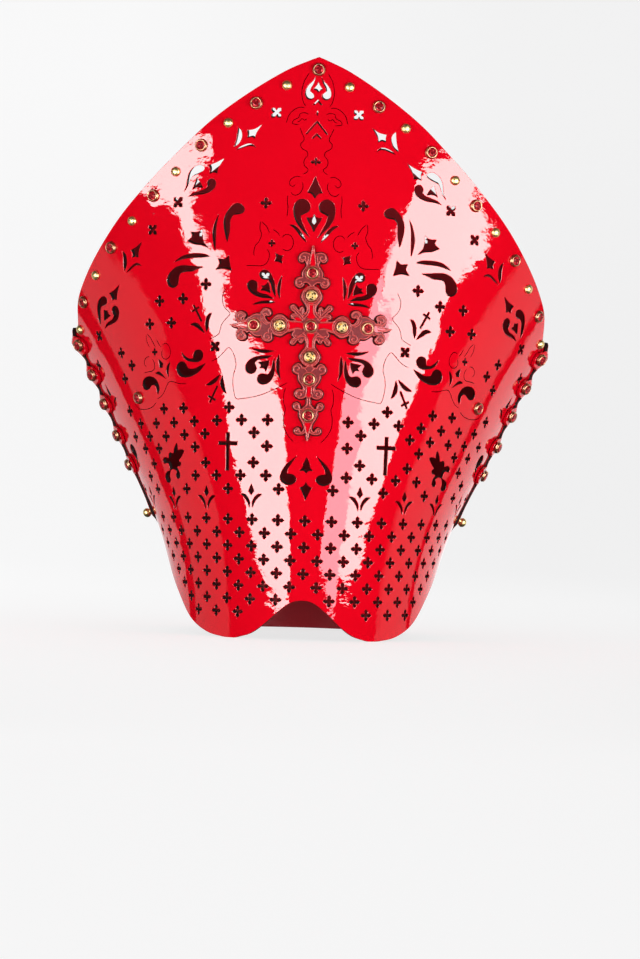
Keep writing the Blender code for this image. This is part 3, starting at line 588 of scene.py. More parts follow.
# Lines scored into the face: each by its points, on both sides of the centre line.
SCORED_WIDTH, SCORED_DEPTH = 0.55, 0.45
SCORED = (
    ((65.3, 264.8), (68.3, 259), (68.3, 254), (66.5, 249.5), (62.3, 245), (65, 241.5), (68.5, 237),
     (70, 232), (70.8, 229.7), (75, 227), (79, 225.5)),
    ((77.5, 208.8), (74, 210), (70, 212.5), (66, 216.5), (62.3, 219.3), (58.5, 214.5), (56.6, 208),
     (56.8, 204), (58.3, 199), (58.7, 193), (57.5, 185.5), (55.5, 180.8), (50, 181.2), (42, 182.5),
     (35, 184.5), (28, 187.5), (22, 190.5), (16.2, 193.8)),
    ((17.3, 190.5), (18.8, 185), (18.5, 178), (17.2, 174), (18.3, 168), (18.2, 162), (16.5, 157),
     (13.5, 152.5), (10, 149)),
    ((7, 427), (10.8, 420), (12.3, 412), (11, 405), (8.8, 401.5)),
    ((9.5, 400.6), (13.5, 400.8), (18, 398.6), (21.5, 394.5), (23.3, 388.5)),
    ((6.2, 395.5), (9.5, 396.8), (13.2, 396), (14, 393), (17.5, 391.3), (18.6, 388.5), (13, 387.6)),
    ((7.4, 392.6), (9.6, 391.2), (11.6, 392.4), (13.2, 390.4), (15.2, 389.8)),
    ((13, 386), (11, 381), (9.5, 378), (9.9, 375.5), (11.8, 373.6), (11.3, 370.5), (9.3, 369), (6.8, 367.6),
     (6.4, 364.5), (8.4, 362.3), (9.1, 359.3), (8.1, 356.5), (5.8, 354.6), (6.8, 352), (9.6, 350.6)),
    ((10.5, 348.4), (14.6, 348.8), (18.6, 346.4), (19.4, 343), (17, 341.2), (14.6, 343.2)),
    ((9.8, 345), (9.2, 340.5), (11.8, 335.8), (16, 334.8), (18.5, 337.2)),
    ((20.2, 335.4), (20.6, 330.5), (20, 325), (20.6, 318)),
    ((40.5, 315), (40.8, 309), (39.4, 304.6), (41.5, 299), (43.9, 296.3), (45, 291), (44.4, 288.4)),
    ((39.7, 314.5), (36, 311), (33, 305.5)),
    ((31, 308.6), (27.5, 306.5), (25, 303.4)),
    ((24, 302.6), (20.8, 305.2), (17, 304), (15, 299.6), (16, 295.2), (19.6, 292.8), (23.4, 294.2)),
    ((35, 294), (33, 290.5), (33.5, 286), (35.6, 282.6), (39, 281.2), (44, 281.2), (51, 281.3)),
    ((136.5, 230.3), (136.2, 225), (133.6, 219.5)),
    ((135.8, 230.2), (132.5, 227.5), (129.6, 223), (127.3, 219.6)),
    ((126.4, 226), (123.6, 221.6), (121.8, 219.6)),
    ((120.6, 221.6), (117.5, 222.8), (114.6, 221), (113, 216.5), (114, 212.6), (117, 210.6), (120.4, 211.6),
     (121.8, 215), (120.4, 218)),
    ((133.4, 212.6), (137, 212.5), (139.8, 210), (140, 206.6), (138, 205)),
    ((131.6, 211.4), (129.4, 208), (129.4, 204.4), (131.6, 202), (136, 201.4), (142, 200.4)),
    ((98, 191.8), (105, 192), (113.5, 193.8), (117, 191.5), (120, 186.5), (124, 182.5), (129, 180.4)),
    ((158, 177.5), (152, 173.4), (143, 172.8), (135, 174.4), (129.6, 178)),
)


def scored_line(points):
    """The outline of a thin scored line that comes to a point at both ends."""
    line = smooth_line(points, 2.0)
    left, right = [], []
    for i in range(1, len(line) - 1):
        along = (line[i + 1] - line[i - 1]).normalized()
        aside = Vector((-along.y, along.x)) * SCORED_WIDTH / 2
        left.append(line[i] + aside)
        right.append(line[i] - aside)
    return [line[0], *left, line[-1], *reversed(right)]


def outward(bend, across, height):
    """The bent panel's outer face and its normal at this point."""
    step = 0.5
    along = bend(across + step, 0, height) - bend(across - step, 0, height)
    up = bend(across, 0, height + step) - bend(across, 0, height - step)
    normal = along.cross(up).normalized()
    place = bend(across, 0, height)
    if normal.dot(place - bend(across, 1, height)) < 0:
        normal.negate()
    return place, normal


def inset(ring, amount):
    """The closed outline moved in by this much, whichever way round it runs."""
    area = sum(a.x * b.y - b.x * a.y for a, b in zip(ring, ring[1:] + ring[:1]))
    moved = []
    for before, point, after in zip(ring[-1:] + ring[:-1], ring, ring[1:] + ring[:1]):
        one, two = (point - before).normalized(), (after - point).normalized()
        inward = Vector((-one.y - two.y, one.x + two.x)) * math.copysign(1.0, area)
        moved.append(point + amount * inward / max(CORNER_LIMIT, 0.5 * inward.length_squared))
    return moved


def placed(name, mesh):
    """A new object with this mesh, lit by the lamps."""
    obj = bpy.data.objects.new(name, mesh)
    bpy.context.scene.collection.objects.link(obj)
    lit_by_lamps.objects.link(obj)
    return obj


# A panel's finishes, in the order of its materials.
FACE, CUT_EDGE, INSIDE, GROOVE = range(4)


def leather_panel(name, outline, gaps, scored, bend, strip_across, strip_up, slant=(0.0, 0.0), flare=0.0):
    """A sheet cut flat, with its cut edges rounded, its lines scored and its thickness, then bent.

    In the gaps the knife leaned by the slant, so that their lower walls show from the front, and the
    sheet's own edge spreads by the flare towards its inner face.
    """
    flat = bmesh.new()
    rim = flat.verts.layers.float.new("rim")

    def ring_edges(points, on_rim=0.0):
        verts = [flat.verts.new((p.x, 0.0, p.y)) for p in points]
        for vert in verts:
            vert[rim] = on_rim
        return [flat.edges.new(pair) for pair in zip(verts, verts[1:] + verts[:1])]

    ring_edges(inset(outline, RIM_ROUND), 1.0)
    for ring in gaps:
        ring_edges(inset(ring, -RIM_ROUND))
    lines = [ring_edges(ring) for ring in scored]
    bmesh.ops.triangle_fill(flat, use_beauty=True, edges=flat.edges[:], normal=(0, -1, 0))
    mark = flat.faces.layers.int.new("scored")
    for edges in lines:
        filled = bmesh.ops.triangle_fill(flat, use_beauty=True, edges=edges, normal=(0, -1, 0))
        for part in filled["geom"]:
            if isinstance(part, bmesh.types.BMFace):
                part[mark] = 1
    low = [min(v.co[i] for v in flat.verts) for i in (0, 2)]
    high = [max(v.co[i] for v in flat.verts) for i in (0, 2)]
    cuts = [((x, 0, 0), (1, 0, 0)) for x in np.arange(low[0] + strip_across / 2, high[0], strip_across)]
    cuts += [((0, 0, z), (0, 0, 1)) for z in np.arange(low[1] + strip_up / 2, high[1], strip_up)]
    for place, normal in cuts:
        whole = flat.verts[:] + flat.edges[:] + flat.faces[:]
        bmesh.ops.bisect_plane(flat, geom=whole, plane_co=place, plane_no=normal, dist=0.02)

    aside = flat.verts.layers.float_vector.new("aside")
    for vert in flat.verts:
        total = Vector()
        for edge in vert.link_edges:
            if len(edge.link_faces) == 1:
                along = (edge.verts[1].co - edge.verts[0].co).normalized()
                off = Vector((-along.z, 0, along.x))
                if off.dot(edge.link_faces[0].calc_center_median() - vert.co) > 0:
                    off.negate()
                total += off
        if total.length > 0.1:
            vert[aside] = total / max(CORNER_LIMIT, 0.5 * total.length_squared)

    bmesh.ops.recalc_face_normals(flat, faces=flat.faces[:])
    raised = bmesh.ops.extrude_face_region(flat, geom=flat.faces[:])
    for part in raised["geom"]:
        if isinstance(part, bmesh.types.BMVert):
            part.co.y = LEATHER
    walls = [e for e in flat.edges if abs(e.verts[0].co.y - e.verts[1].co.y) > 0.5 * LEATHER]
    bmesh.ops.subdivide_edges(flat, edges=walls, cuts=2, use_grid_fill=True)
    bmesh.ops.recalc_face_normals(flat, faces=flat.faces[:])

    sunk = [f for f in flat.faces if f[mark] and max(v.co.y for v in f.verts) < 0.1]
    if sunk:
        deeper = bmesh.ops.extrude_face_region(flat, geom=sunk)
        for part in deeper["geom"]:
            if isinstance(part, bmesh.types.BMVert):
                part.co.y = SCORED_DEPTH
    for face in flat.faces:
        depths = [v.co.y for v in face.verts]
        if max(depths) < 0.01:
            face.material_index, face.smooth = FACE, True
        elif max(depths) < 0.5:
            face.material_index, face.smooth = GROOVE, False
        elif min(depths) > LEATHER - 0.01:
            face.material_index, face.smooth = INSIDE, True
        elif min(depths) > 0.5 * LEATHER:
            face.material_index, face.smooth = CUT_EDGE, False
        else:
            face.material_index, face.smooth = FACE, True
    flat.verts.index_update()
    normals = {}
    for vert in flat.verts:
        across, depth, height = vert.co
        if depth < 0.01:
            normals[vert.index] = outward(bend, across, height)[1]
        shift, lower = 0.0, depth
        if vert[aside].length > 0.1:
            if 0.2 * LEATHER < depth < 0.5 * LEATHER:
                shift, lower = 0.7 * RIM_ROUND, 0.3 * RIM_ROUND
            elif depth > 0.5 * LEATHER:
                shift = RIM_ROUND
                lower = RIM_ROUND if depth < 0.8 * LEATHER else LEATHER
        under = max(0.0, lower - RIM_ROUND)
        shift += flare * under / LEATHER * vert[rim]
        across += shift * vert[aside].x + slant[0] * under * (1.0 - vert[rim])
        height += shift * vert[aside].z + slant[1] * under * (1.0 - vert[rim])
        vert.co = bend(across, lower, height) * MM
    if flat.calc_volume(signed=True) < 0:
        bmesh.ops.reverse_faces(flat, faces=flat.faces[:])
    mesh = bpy.data.meshes.new(name)
    flat.to_mesh(mesh)
    split = []
    for polygon in mesh.polygons:
        on_face = polygon.material_index == FACE and all(i in normals for i in polygon.vertices)
        for i in polygon.vertices:
            split.append(normals[i] if on_face else (0.0, 0.0, 0.0))
    mesh.normals_split_custom_set(split)
    flat.free()
    return placed(name, mesh)


# Waves in the gloss coat: how many to the metre, how deep, and how much finer ones go with them.
GLOSS_WAVES = ((36.0, 0.00030, 1.0), (115.0, 0.00010, 3.0))


def patent_leather(name, colour, deep):
    """Red patent leather: a smooth, slightly wavy gloss coat over an even dye."""
    made = bpy.data.materials.new(name)
    made.use_nodes = True
    tree = made.node_tree
    shader = tree.nodes["Principled BSDF"]
    shader.inputs["Roughness"].default_value = 0.02
    shader.inputs["IOR"].default_value = 1.5
    place = tree.nodes.new("ShaderNodeTexCoord")
    cloud = tree.nodes.new("ShaderNodeTexNoise")
    cloud.inputs["Scale"].default_value = 26.0
    cloud.inputs["Detail"].default_value = 4.0
    dye = tree.nodes.new("ShaderNodeMix")
    dye.data_type = "RGBA"
    dye.inputs["A"].default_value = (*colour, 1.0)
    dye.inputs["B"].default_value = (*deep, 1.0)
    tree.links.new(place.outputs["Object"], cloud.inputs["Vector"])
    tree.links.new(cloud.outputs["Fac"], dye.inputs["Factor"])
    tree.links.new(dye.outputs["Result"], shader.inputs["Base Color"])
    height = None
    for scale, distance, detail in GLOSS_WAVES:
        wave = tree.nodes.new("ShaderNodeTexNoise")
        wave.inputs["Scale"].default_value = scale
        wave.inputs["Detail"].default_value = detail
        bump = tree.nodes.new("ShaderNodeBump")
        bump.inputs["Distance"].default_value = distance
        tree.links.new(place.outputs["Object"], wave.inputs["Vector"])
        tree.links.new(wave.outputs["Fac"], bump.inputs["Height"])
        if height:
            tree.links.new(height.outputs["Normal"], bump.inputs["Normal"])
        height = bump
    tree.links.new(height.outputs["Normal"], shader.inputs["Normal"])
    return made


def grained(name, colour, deep, scale, roughness, bump_height, gloss=0.5):
    """A dull leather face or cut edge: two tones and a grain of this scale."""
    made = bpy.data.materials.new(name)
    made.use_nodes = True
    tree = made.node_tree
    shader = tree.nodes["Principled BSDF"]
    shader.inputs["Roughness"].default_value = roughness
    shader.inputs["Specular IOR Level"].default_value = gloss
    place = tree.nodes.new("ShaderNodeTexCoord")
    grain = tree.nodes.new("ShaderNodeTexNoise")
    grain.inputs["Scale"].default_value = scale
    grain.inputs["Detail"].default_value = 4.0
    tone = tree.nodes.new("ShaderNodeMix")
    tone.data_type = "RGBA"
    tone.inputs["A"].default_value = (*colour, 1.0)
    tone.inputs["B"].default_value = (*deep, 1.0)
    bump = tree.nodes.new("ShaderNodeBump")
    bump.inputs["Distance"].default_value = bump_height
    tree.links.new(place.outputs["Object"], grain.inputs["Vector"])
    tree.links.new(grain.outputs["Fac"], tone.inputs["Factor"])
    tree.links.new(tone.outputs["Result"], shader.inputs["Base Color"])
    tree.links.new(grain.outputs["Fac"], bump.inputs["Height"])
    tree.links.new(bump.outputs["Normal"], shader.inputs["Normal"])
    return made


patent_red = patent_leather("patent_red", (0.40, 0.0006, 0.006), (0.365, 0.0004, 0.005))
edge_black = grained(
    "edge_black", (0.006, 0.003, 0.003), (0.014, 0.006, 0.006),
    scale=1500.0, roughness=0.6, bump_height=0.00005, gloss=0.12,
)
inner_red = grained(
    "inner_red", (0.15, 0.002, 0.005), (0.09, 0.001, 0.003),
    scale=900.0, roughness=0.45, bump_height=0.00006, gloss=0.12,
)
scored_dark = grained(
    "scored_dark", (0.085, 0.001, 0.004), (0.055, 0.0, 0.002),
    scale=900.0, roughness=0.5, bump_height=0.00002,
)

OUTLINE_SPACING = 4.0
seam_heights = np.linspace(232.0, 104.0, 14)
front_seam = [Vector((section(h)[2] - SEAM_TUCK, h)) for h in seam_heights]
front_half = smooth_line(
    [Vector(p) for p in CROWN_EDGE] + front_seam + [Vector(p) for p in MASK_EDGE],
    OUTLINE_SPACING, last=(-9, 28),
)
front_leather = leather_panel(
    "front_leather", mirrored(front_half), front_gaps(),
    [[Vector((flip * p.x, p.y)) for p in scored_line(points)] for points in SCORED for flip in (1, -1)],
    bend_front, strip_across=6.0, strip_up=14.0, slant=KNIFE_SLANT,
)
for finish in (patent_red, edge_black, inner_red, scored_dark):
    front_leather.data.materials.append(finish)
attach(front_leather, "root")
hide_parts("front_panel")

# The back panel has the same crown and a plain face. Its margin goes round each side, over the front, and
# swells into five tabs there, each riveted through by a stone.
SEAM_GAP = 0.6
SEAM_ROUND = 8.0
SEAM_REACH = 1.2
TAB_REACH = 15.4
TAB_HALF_HEIGHT = 7.4
TAB_BULGE = 5.0
TAB_BULGE_LOWEST = 0.8
TAB_SWELL = 14.0
TAB_SPREAD = 12.0
TAB_SQUARENESS = 2.6
TAB_STONE = 9.5
TAB_HEIGHTS = (224.4, 201.1, 178.4, 153.8, 130.9)
SEAM_TOP = 232.8
SEAM_FOOT = 112.0
# The margin's ends, above and below its tabs: past the corner, and height.
MARGIN_TOP = ((-3.5, 239.0), (-1.2, 236.0))
MARGIN_FOOT = ((3.0, 104.0), (2.5, 97.0), (0.5, 91.0))
MARGIN_SPACING = 0.6
NAPE_EDGE = ((187, 88), (172, 72), (152, 50), (128, 28), (104, 12), (84, 3.5), (66, 0))


def tab_shape(height, half_height):
    """How much of a tab there is at this height: 1 at its middle, 0 beside it."""
    nearest = min(abs(height - middle) for middle in TAB_HEIGHTS)
    return math.cos(0.5 * math.pi * min(1.0, nearest / half_height)) ** 2


def bend_back(across, depth, height):
    """The same for the back panel, whose margin goes round the corner and lies over the front."""
    side = math.copysign(1.0, across)
    radius, bulge, corner = section(height, BACK_DEEPER)
    past = abs(across) - corner
    angle = abs(across) / radius
    place = Vector((
        (radius - depth) * math.sin(angle), bulge - radius + (radius - depth) * math.cos(angle), height
    ))
    if past > -SEAM_ROUND:
        front_corner = section(height)[2]
        over = bend_front(front_corner - past, depth - LEATHER - SEAM_GAP, height)
        share = min(1.0, (past + SEAM_ROUND) / (2 * SEAM_ROUND))
        place = place.lerp(over, share * share * (3 - 2 * share))
    swell = math.cos(0.5 * math.pi * min(1.0, abs(past) / TAB_SWELL)) ** 2
    down = (TAB_HEIGHTS[0] - height) / (TAB_HEIGHTS[0] - TAB_HEIGHTS[-1])
    bulge = TAB_BULGE + (TAB_BULGE_LOWEST - TAB_BULGE) * min(1.0, max(0.0, down))
    place.x += bulge * swell * tab_shape(height, TAB_SPREAD)
    place.x *= side
    return place


margin = []
for h in np.arange(SEAM_TOP, SEAM_FOOT, -MARGIN_SPACING):
    off = min(abs(h - middle) for middle in TAB_HEIGHTS) / TAB_HALF_HEIGHT
    reach = SEAM_REACH + (TAB_REACH - SEAM_REACH) * math.sqrt(max(0.0, 1 - off**TAB_SQUARENESS))
    margin.append(Vector((section(h, BACK_DEEPER)[2] + reach, h)))
top_corner = section(240.0, BACK_DEEPER)[2]
foot_corner = section(100.0, BACK_DEEPER)[2]
back_half = [
    *smooth_line([Vector(p) for p in CROWN_EDGE], OUTLINE_SPACING),
    *[Vector((top_corner + past, h)) for past, h in MARGIN_TOP],
    *margin,
    *[Vector((foot_corner + past, h)) for past, h in MARGIN_FOOT],
    *smooth_line([Vector(p) for p in NAPE_EDGE], OUTLINE_SPACING),
    Vector((0.0, 0.0)),
]
# What little is pierced in the back: four-lobed holes, round ones and a drop, by across and height.
BACK_FOILS = (
    (40.2, 296.5, 45, 1.0), (10.2, 332.0, 45, 0.8), (96.0, 331.0, 45, 1.0), (150.0, 281.0, 45, 1.0),
)
BACK_HOLES = ((34.6, 275.0, 1.6), (118.0, 262.0, 1.6))
back_gaps = [half_cut_out((((0, 350.5), (1.5, 347), (1.7, 344.6), (0, 342.6)),))]
for across, height, turn, size in BACK_FOILS:
    for flip in (1, -1):
        back_gaps.append(turned_about(foil, flip * across, height, turn, size))
round_hole = [(math.cos(math.tau * i / 12), math.sin(math.tau * i / 12)) for i in range(12)]
for across, height, radius in BACK_HOLES:
    for flip in (1, -1):
        back_gaps.append(turned_about(round_hole, flip * across, height, 0, radius))
back_leather = leather_panel(
    "back_leather", mirrored(back_half), back_gaps, [], bend_back, strip_across=3.0, strip_up=3.5
)
for finish in (patent_red, edge_black, inner_red, scored_dark):
    back_leather.data.materials.append(finish)
# Where the margin comes round to the front, its cut edge is glossy red, down to this height.
RED_EDGE_FRONT, RED_EDGE_LOWEST = -3.0, 115.0
for face in back_leather.data.polygons:
    round_front = face.center.y < RED_EDGE_FRONT * MM and face.center.z > RED_EDGE_LOWEST * MM
    if face.material_index == CUT_EDGE and round_front:
        face.material_index = FACE
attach(back_leather, "root")
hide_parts("back_panel")

# The cross is a second, tooled plate of the same leather: a rose-brown ground where the gloss is pared
# away, darkened with painted shade between the ribs, raised ribs that roll into scrolls, lightened with a
# painted highlight, a black cut edge with a painted shadow round it, and fields where the red gloss is
# left. Its stones hold it on.
CROSS_THICK = 2.5
# The flare slants the plate's cut edge so that it shows all round from the front: its black dye and a
# painted shadow.
CROSS_SPACING, CROSS_FLARE = 0.8, 0.9
CROSS_OUTLINE = (
    ((0, 297), (0.9, 293.6), (1.5, 290.8)),
    ((1.5, 290.8), (4, 291.8), (6.6, 292), (9, 290.9), (10.6, 288.6), (10.7, 286.2), (9.6, 284.5), (8, 284),
     (6.6, 284.4), (5.9, 285.4)),
    ((5.9, 285.4), (5.2, 283.6), (4.7, 282)),
    ((4.7, 282), (6.3, 279.8), (7.6, 277.5), (8.1, 275.2), (7.9, 273.4)),
    ((7.9, 273.4), (10.4, 273.1), (12.4, 271.6), (13, 269), (12.2, 266.6), (10, 265), (7.6, 265.2),
     (6.2, 266.6), (6, 268.6)),
    ((6, 268.6), (4, 268.7), (1.8, 267)),
    ((1.8, 267), (4.2, 264.4), (6.8, 262), (8, 259.2), (7.4, 256.3), (5.7, 253.6), (4.3, 251.8)),
    ((4.3, 251.8), (3.8, 249.8), (3.9, 247.8), (5, 246.6)),
    ((5, 246.6), (5.1, 249.4), (6.6, 251.2), (8.3, 250.6), (9.3, 248.6)),
    ((9.3, 248.6), (10.8, 250.4), (12.6, 252.5), (14.8, 252.4), (16, 250.6), (15.3, 248.6), (13.4, 247.2),
     (12, 245.8)),
    ((12, 245.8), (14.2, 245.6), (15.4, 243.8), (14.8, 241.8), (12.9, 241.2), (12.2, 240.6)),
    ((12.2, 240.6), (15, 240.6), (17.5, 241.5)),
    ((17.5, 241.5), (19.4, 243.3), (21.6, 244.7), (24.2, 244.9), (26.8, 243.8), (28.8, 241.4),
     (30.2, 239.1)),
    ((30.2, 239.1), (32, 239.4), (33.8, 241.6), (34.6, 244.2)),
    ((34.6, 244.2), (33.6, 244.6), (32.6, 243.3)),
    ((32.6, 243.3), (30.8, 243.5), (29.6, 245.2), (29.9, 247.3), (31.5, 248.9), (33.8, 249.4),
     (36.2, 248.6), (37.8, 246.7), (38.4, 244.9)),
    ((38.4, 244.9), (40.4, 245.3), (43.4, 244.5), (46, 242.8)),
    ((46, 242.8), (47.2, 242.5), (48.3, 241.2), (49.6, 240.5), (51.8, 240.6)),
    ((51.8, 240.6), (51.2, 242), (49.2, 242.2)),
    ((49.2, 242.2), (48.8, 244.4), (50.4, 246.1), (53, 246.8), (55.4, 246), (57, 243.8), (56.8, 241),
     (55.6, 238.8), (54.2, 237.5)),
    ((54.2, 237.5), (57.5, 236.9), (61.3, 236.4)),
    ((61.3, 236.4), (58.6, 234.9), (54.6, 233.9)),
    ((54.6, 233.9), (55.9, 231.8), (56.4, 229.4), (55.8, 227.2), (54.1, 225.5), (51.6, 224.8),
     (49.3, 225.5), (48, 227.4), (48.5, 229.4), (50.6, 230.4)),
    ((50.6, 230.4), (50.6, 231.5), (49.4, 231.4), (47.9, 230.4), (46.2, 231.2)),
    ((46.2, 231.2), (44.4, 229.8), (42.2, 228.3), (39.8, 227.7), (37.2, 228)),
    ((37.2, 228), (35.8, 225.6), (33.4, 224.1), (30.8, 224.1), (28.8, 225.4), (28.2, 227.6), (28.9, 230.2)),
    ((28.9, 230.2), (27, 229.4), (24.6, 228.4), (22, 228.3), (19.6, 229.6), (17.4, 231.3)),
    ((17.4, 231.3), (14.6, 232), (12.4, 232.8)),
    ((12.4, 232.8), (14, 230.8), (13.9, 229), (12.6, 227.6)),
    ((12.6, 227.6), (14.4, 226.4), (15.3, 224), (14.2, 222.2), (12, 222.2), (10.6, 223.8)),
    ((10.6, 223.8), (9.4, 225.6), (8.4, 223.8), (6.8, 223.2), (5.3, 224.6)),
    ((5.3, 224.6), (4.6, 226), (3.7, 224), (3.6, 221.6), (4.4, 219.4)),
    ((4.4, 219.4), (6.2, 217.4), (7.6, 215), (7.9, 212.8), (6.8, 210.6), (4.6, 208.4), (2, 206.7)),
    ((2, 206.7), (3.4, 205.6), (5, 205.4)),
    ((5, 205.4), (6, 207.4), (8.2, 208.6), (10.6, 207.7), (12.4, 205.4), (12.6, 202.8), (11, 200.7),
     (8.6, 199.8)),
    ((8.6, 199.8), (8.4, 197.2), (7.4, 194.4), (5.6, 192), (4.6, 190.4), (5, 188.9)),
    ((5, 188.9), (7, 189.4), (9.2, 188.6), (10.6, 186.6), (10.4, 184.2), (8.6, 182.2), (6.2, 181.4),
     (3.6, 182), (1.7, 183.2)),
    ((1.7, 183.2), (1.5, 180.4), (1.9, 177.8), (3.6, 175.8)),
    ((3.6, 175.8), (4.6, 174.6), (5.6, 174.4)),
    ((5.6, 174.4), (6, 176.4), (6.9, 178.4), (8.8, 179.2), (10.8, 178.4), (11.5, 176.2), (10.7, 174),
     (8.9, 172.9), (7.4, 173), (6.9, 171.8)),
    ((6.9, 171.8), (7, 169.4), (6, 166.8), (4.4, 164.2), (3.4, 162), (3, 159.8)),
    ((3, 159.8), (4.2, 157.4), (5.8, 157.6)),
    ((5.8, 157.6), (6, 159.8), (8.2, 160.4), (10, 158.8), (10, 156.4), (8.2, 154.9), (5.4, 154.7),
     (2.8, 155.2), (1.2, 156.4)),
    ((1.2, 156.4), (0.9, 153), (0, 150)),
)


def bend_cross(across, depth, height):
    """A point of the flat cross, which lies on the front panel's face."""
    return bend_front(across, depth - GAP - CROSS_THICK, height)


cross_plate = leather_panel(
    "cross_plate", half_cut_out(CROSS_OUTLINE, CROSS_SPACING), [], [],
    bend_cross, strip_across=6.0, strip_up=6.0, flare=CROSS_FLARE,
)
# The ground's own rose-brown, made darker as painted shade between the ribs.
tooled_rose_and_shade = grained(
    "tooled_rose_and_shade", (0.17, 0.010, 0.012), (0.055, 0.002, 0.004),
    scale=650.0, roughness=0.5, bump_height=0.00014, gloss=0.2,
)
# The cut edge: black dye, and a painted shadow round the plate.
tooled_edge_and_shadow = grained(
    "tooled_edge_and_shadow", (0.014, 0.003, 0.003), (0.034, 0.005, 0.005),
    scale=1200.0, roughness=0.5, bump_height=0.00006, gloss=0.15,
)
for finish in (tooled_rose_and_shade, tooled_edge_and_shadow, inner_red, scored_dark):
    cross_plate.data.materials.append(finish)
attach(cross_plate, "root")
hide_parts("cross_overlay")

# Its raised ribs: rings round the stones, stems along the arms, and a scroll in each lobe.
RIB_HEIGHT, EDGE_RIB_HEIGHT, EDGE_RIB_IN = 0.8, 0.42, 0.35
# Half the width of each kind of rib.
RING_HALF, SCROLL_HALF, STEM_HALF, EDGE_HALF = 0.42, 0.5, 0.45, 0.4
RING_POINTS = 28
RING_RADII = {"red": (5.3,), "yellow": (5.5, 6.9)}
STONE_PLACES = {
    "red": ((0, 276.3), (0, 236.3), (0, 196.5), (0, 169.3), (42.3, 236.4)),
    "yellow": ((0, 259.4), (0, 213.2), (23.1, 236.5)),
}
# Scrolls: middle, radius, the angle where the rib starts, and how far it winds in, in degrees.
SCROLL_STEP, SCROLL_WINDS_IN = 24, 0.86
SCROLLS = (
    ((6.9, 287.9), 3.5, 110, -420), ((9.2, 269.1), 3.4, 110, -420), ((33.9, 245.2), 3.6, 200, -430),
    ((53.1, 242.6), 3.4, 250, -430), ((52.3, 228.4), 3.2, 110, 430), ((32.2, 227.7), 3.3, 110, -420),
    ((9.0, 204.2), 3.5, 250, 420), ((6.6, 185.4), 3.2, 140, -420), ((8.9, 176.1), 2.1, 240, -300),
    ((7.4, 157.4), 2.0, 200, -260),
)
STEMS = (
    ((0.3, 296), (1.2, 291.2), (1.9, 286.5), (2.3, 282.6)),
    ((3.4, 289.6), (3.6, 286), (3.9, 283), (3.6, 281.5)),
    ((1.9, 253.6), (1.7, 250), (2, 246.5), (3.6, 243.6), (6.2, 240.9)),
    ((3, 253.2), (2.8, 249.6), (3.4, 246.6), (5.6, 244.2), (8.6, 242.4)),
    ((4.4, 241), (8, 245), (11.2, 248.2), (14.4, 250.8)),
    ((5.8, 240.2), (9.4, 244), (12, 246.6), (14.6, 248.6), (14.9, 251), (13, 251.4), (11.2, 249.4)),
    ((7, 243.4), (6.6, 246.6), (6.7, 249.6), (7.9, 249.4), (8.2, 247.2)),
    ((8.6, 243.6), (11.4, 243.9), (14, 243.4), (13, 242.2)),
    ((6.4, 239.4), (10, 239.6), (14, 239.7), (18, 240.3)),
    ((6.4, 233.8), (10, 234.4), (14, 233.6), (18, 232.9)),
    ((4.2, 232), (7, 229.8), (9.4, 228.6), (12, 229.4)),
    ((1.9, 219.4), (1.8, 223), (2.1, 226.4), (3.6, 229), (6, 231.4)),
    ((3, 219.4), (2.8, 223), (3.4, 226.8), (5.4, 228.8), (8.4, 228.2), (11.4, 226.4), (13.6, 224.4),
     (13, 223.2)),
    ((6.6, 227), (7.2, 225), (7, 224.2)),
    ((30.6, 237.6), (33.4, 238.4), (35.4, 240.6), (36.2, 243.4)),
    ((32, 236.6), (34.6, 237.8), (36.8, 240), (37.4, 243)),
    ((30.4, 234.8), (31.6, 232.4), (31.2, 230.4)),
    ((47.4, 239.8), (50.6, 238.8), (53.6, 239.2), (55.8, 241.6)),
    ((47.6, 233.2), (50.4, 232.8), (53.4, 232.4), (55.2, 230.2)),
    ((50, 237.4), (54.4, 236.9), (59.6, 236.5)),
    ((50, 235.4), (54.4, 235.2), (59.6, 236.1)),
    ((4.4, 205.8), (2.8, 203.8), (1.6, 202.2)),
    ((2, 191.6), (1.9, 188), (2.2, 185), (3.2, 183.4)),
    ((3.3, 191), (3.4, 188), (4.4, 185.6)),
    ((1, 183.4), (0.9, 180), (1, 176.6)),
    ((2.4, 162.6), (1.8, 160), (1.2, 157.4), (0.4, 152)),
    ((3.4, 175), (1.8, 176.4), (0.4, 177.6)),
)
# Fields of red gloss between them, a little raised: those on the centre line by their halves.
FIELD_RAISED = 0.16
FIELDS = (
    ((0, 293.4), (0.9, 290), (1.4, 286), (1.8, 282.2), (0, 281.3)),
    ((0, 254.6), (1.2, 254), (1, 250), (1.4, 246), (3, 243), (0, 241.6)),
    ((0, 219), (1.2, 219.4), (1.1, 223), (1.4, 227), (2.8, 230.4), (0, 231)),
    ((0, 191.4), (1.2, 190.8), (1.2, 186.6), (1.6, 183.8), (0, 183)),
    ((0, 164.2), (2, 163.4), (1.2, 159.6), (0, 156)),
)
ARM_FIELDS = (
    ((5.6, 238.6), (10, 238.9), (14, 239), (17.2, 239.4), (17.2, 233.8), (13, 234.6), (9.4, 235.3),
     (5.6, 234.4)),
    ((48, 238.8), (51, 237.9), (54, 238), (57, 236.6), (54, 235), (51, 234.2), (48, 234.4)),
    ((6.6, 240.4), (9, 242.4), (11.6, 242.6), (11.6, 241), (9, 239.9)),
)


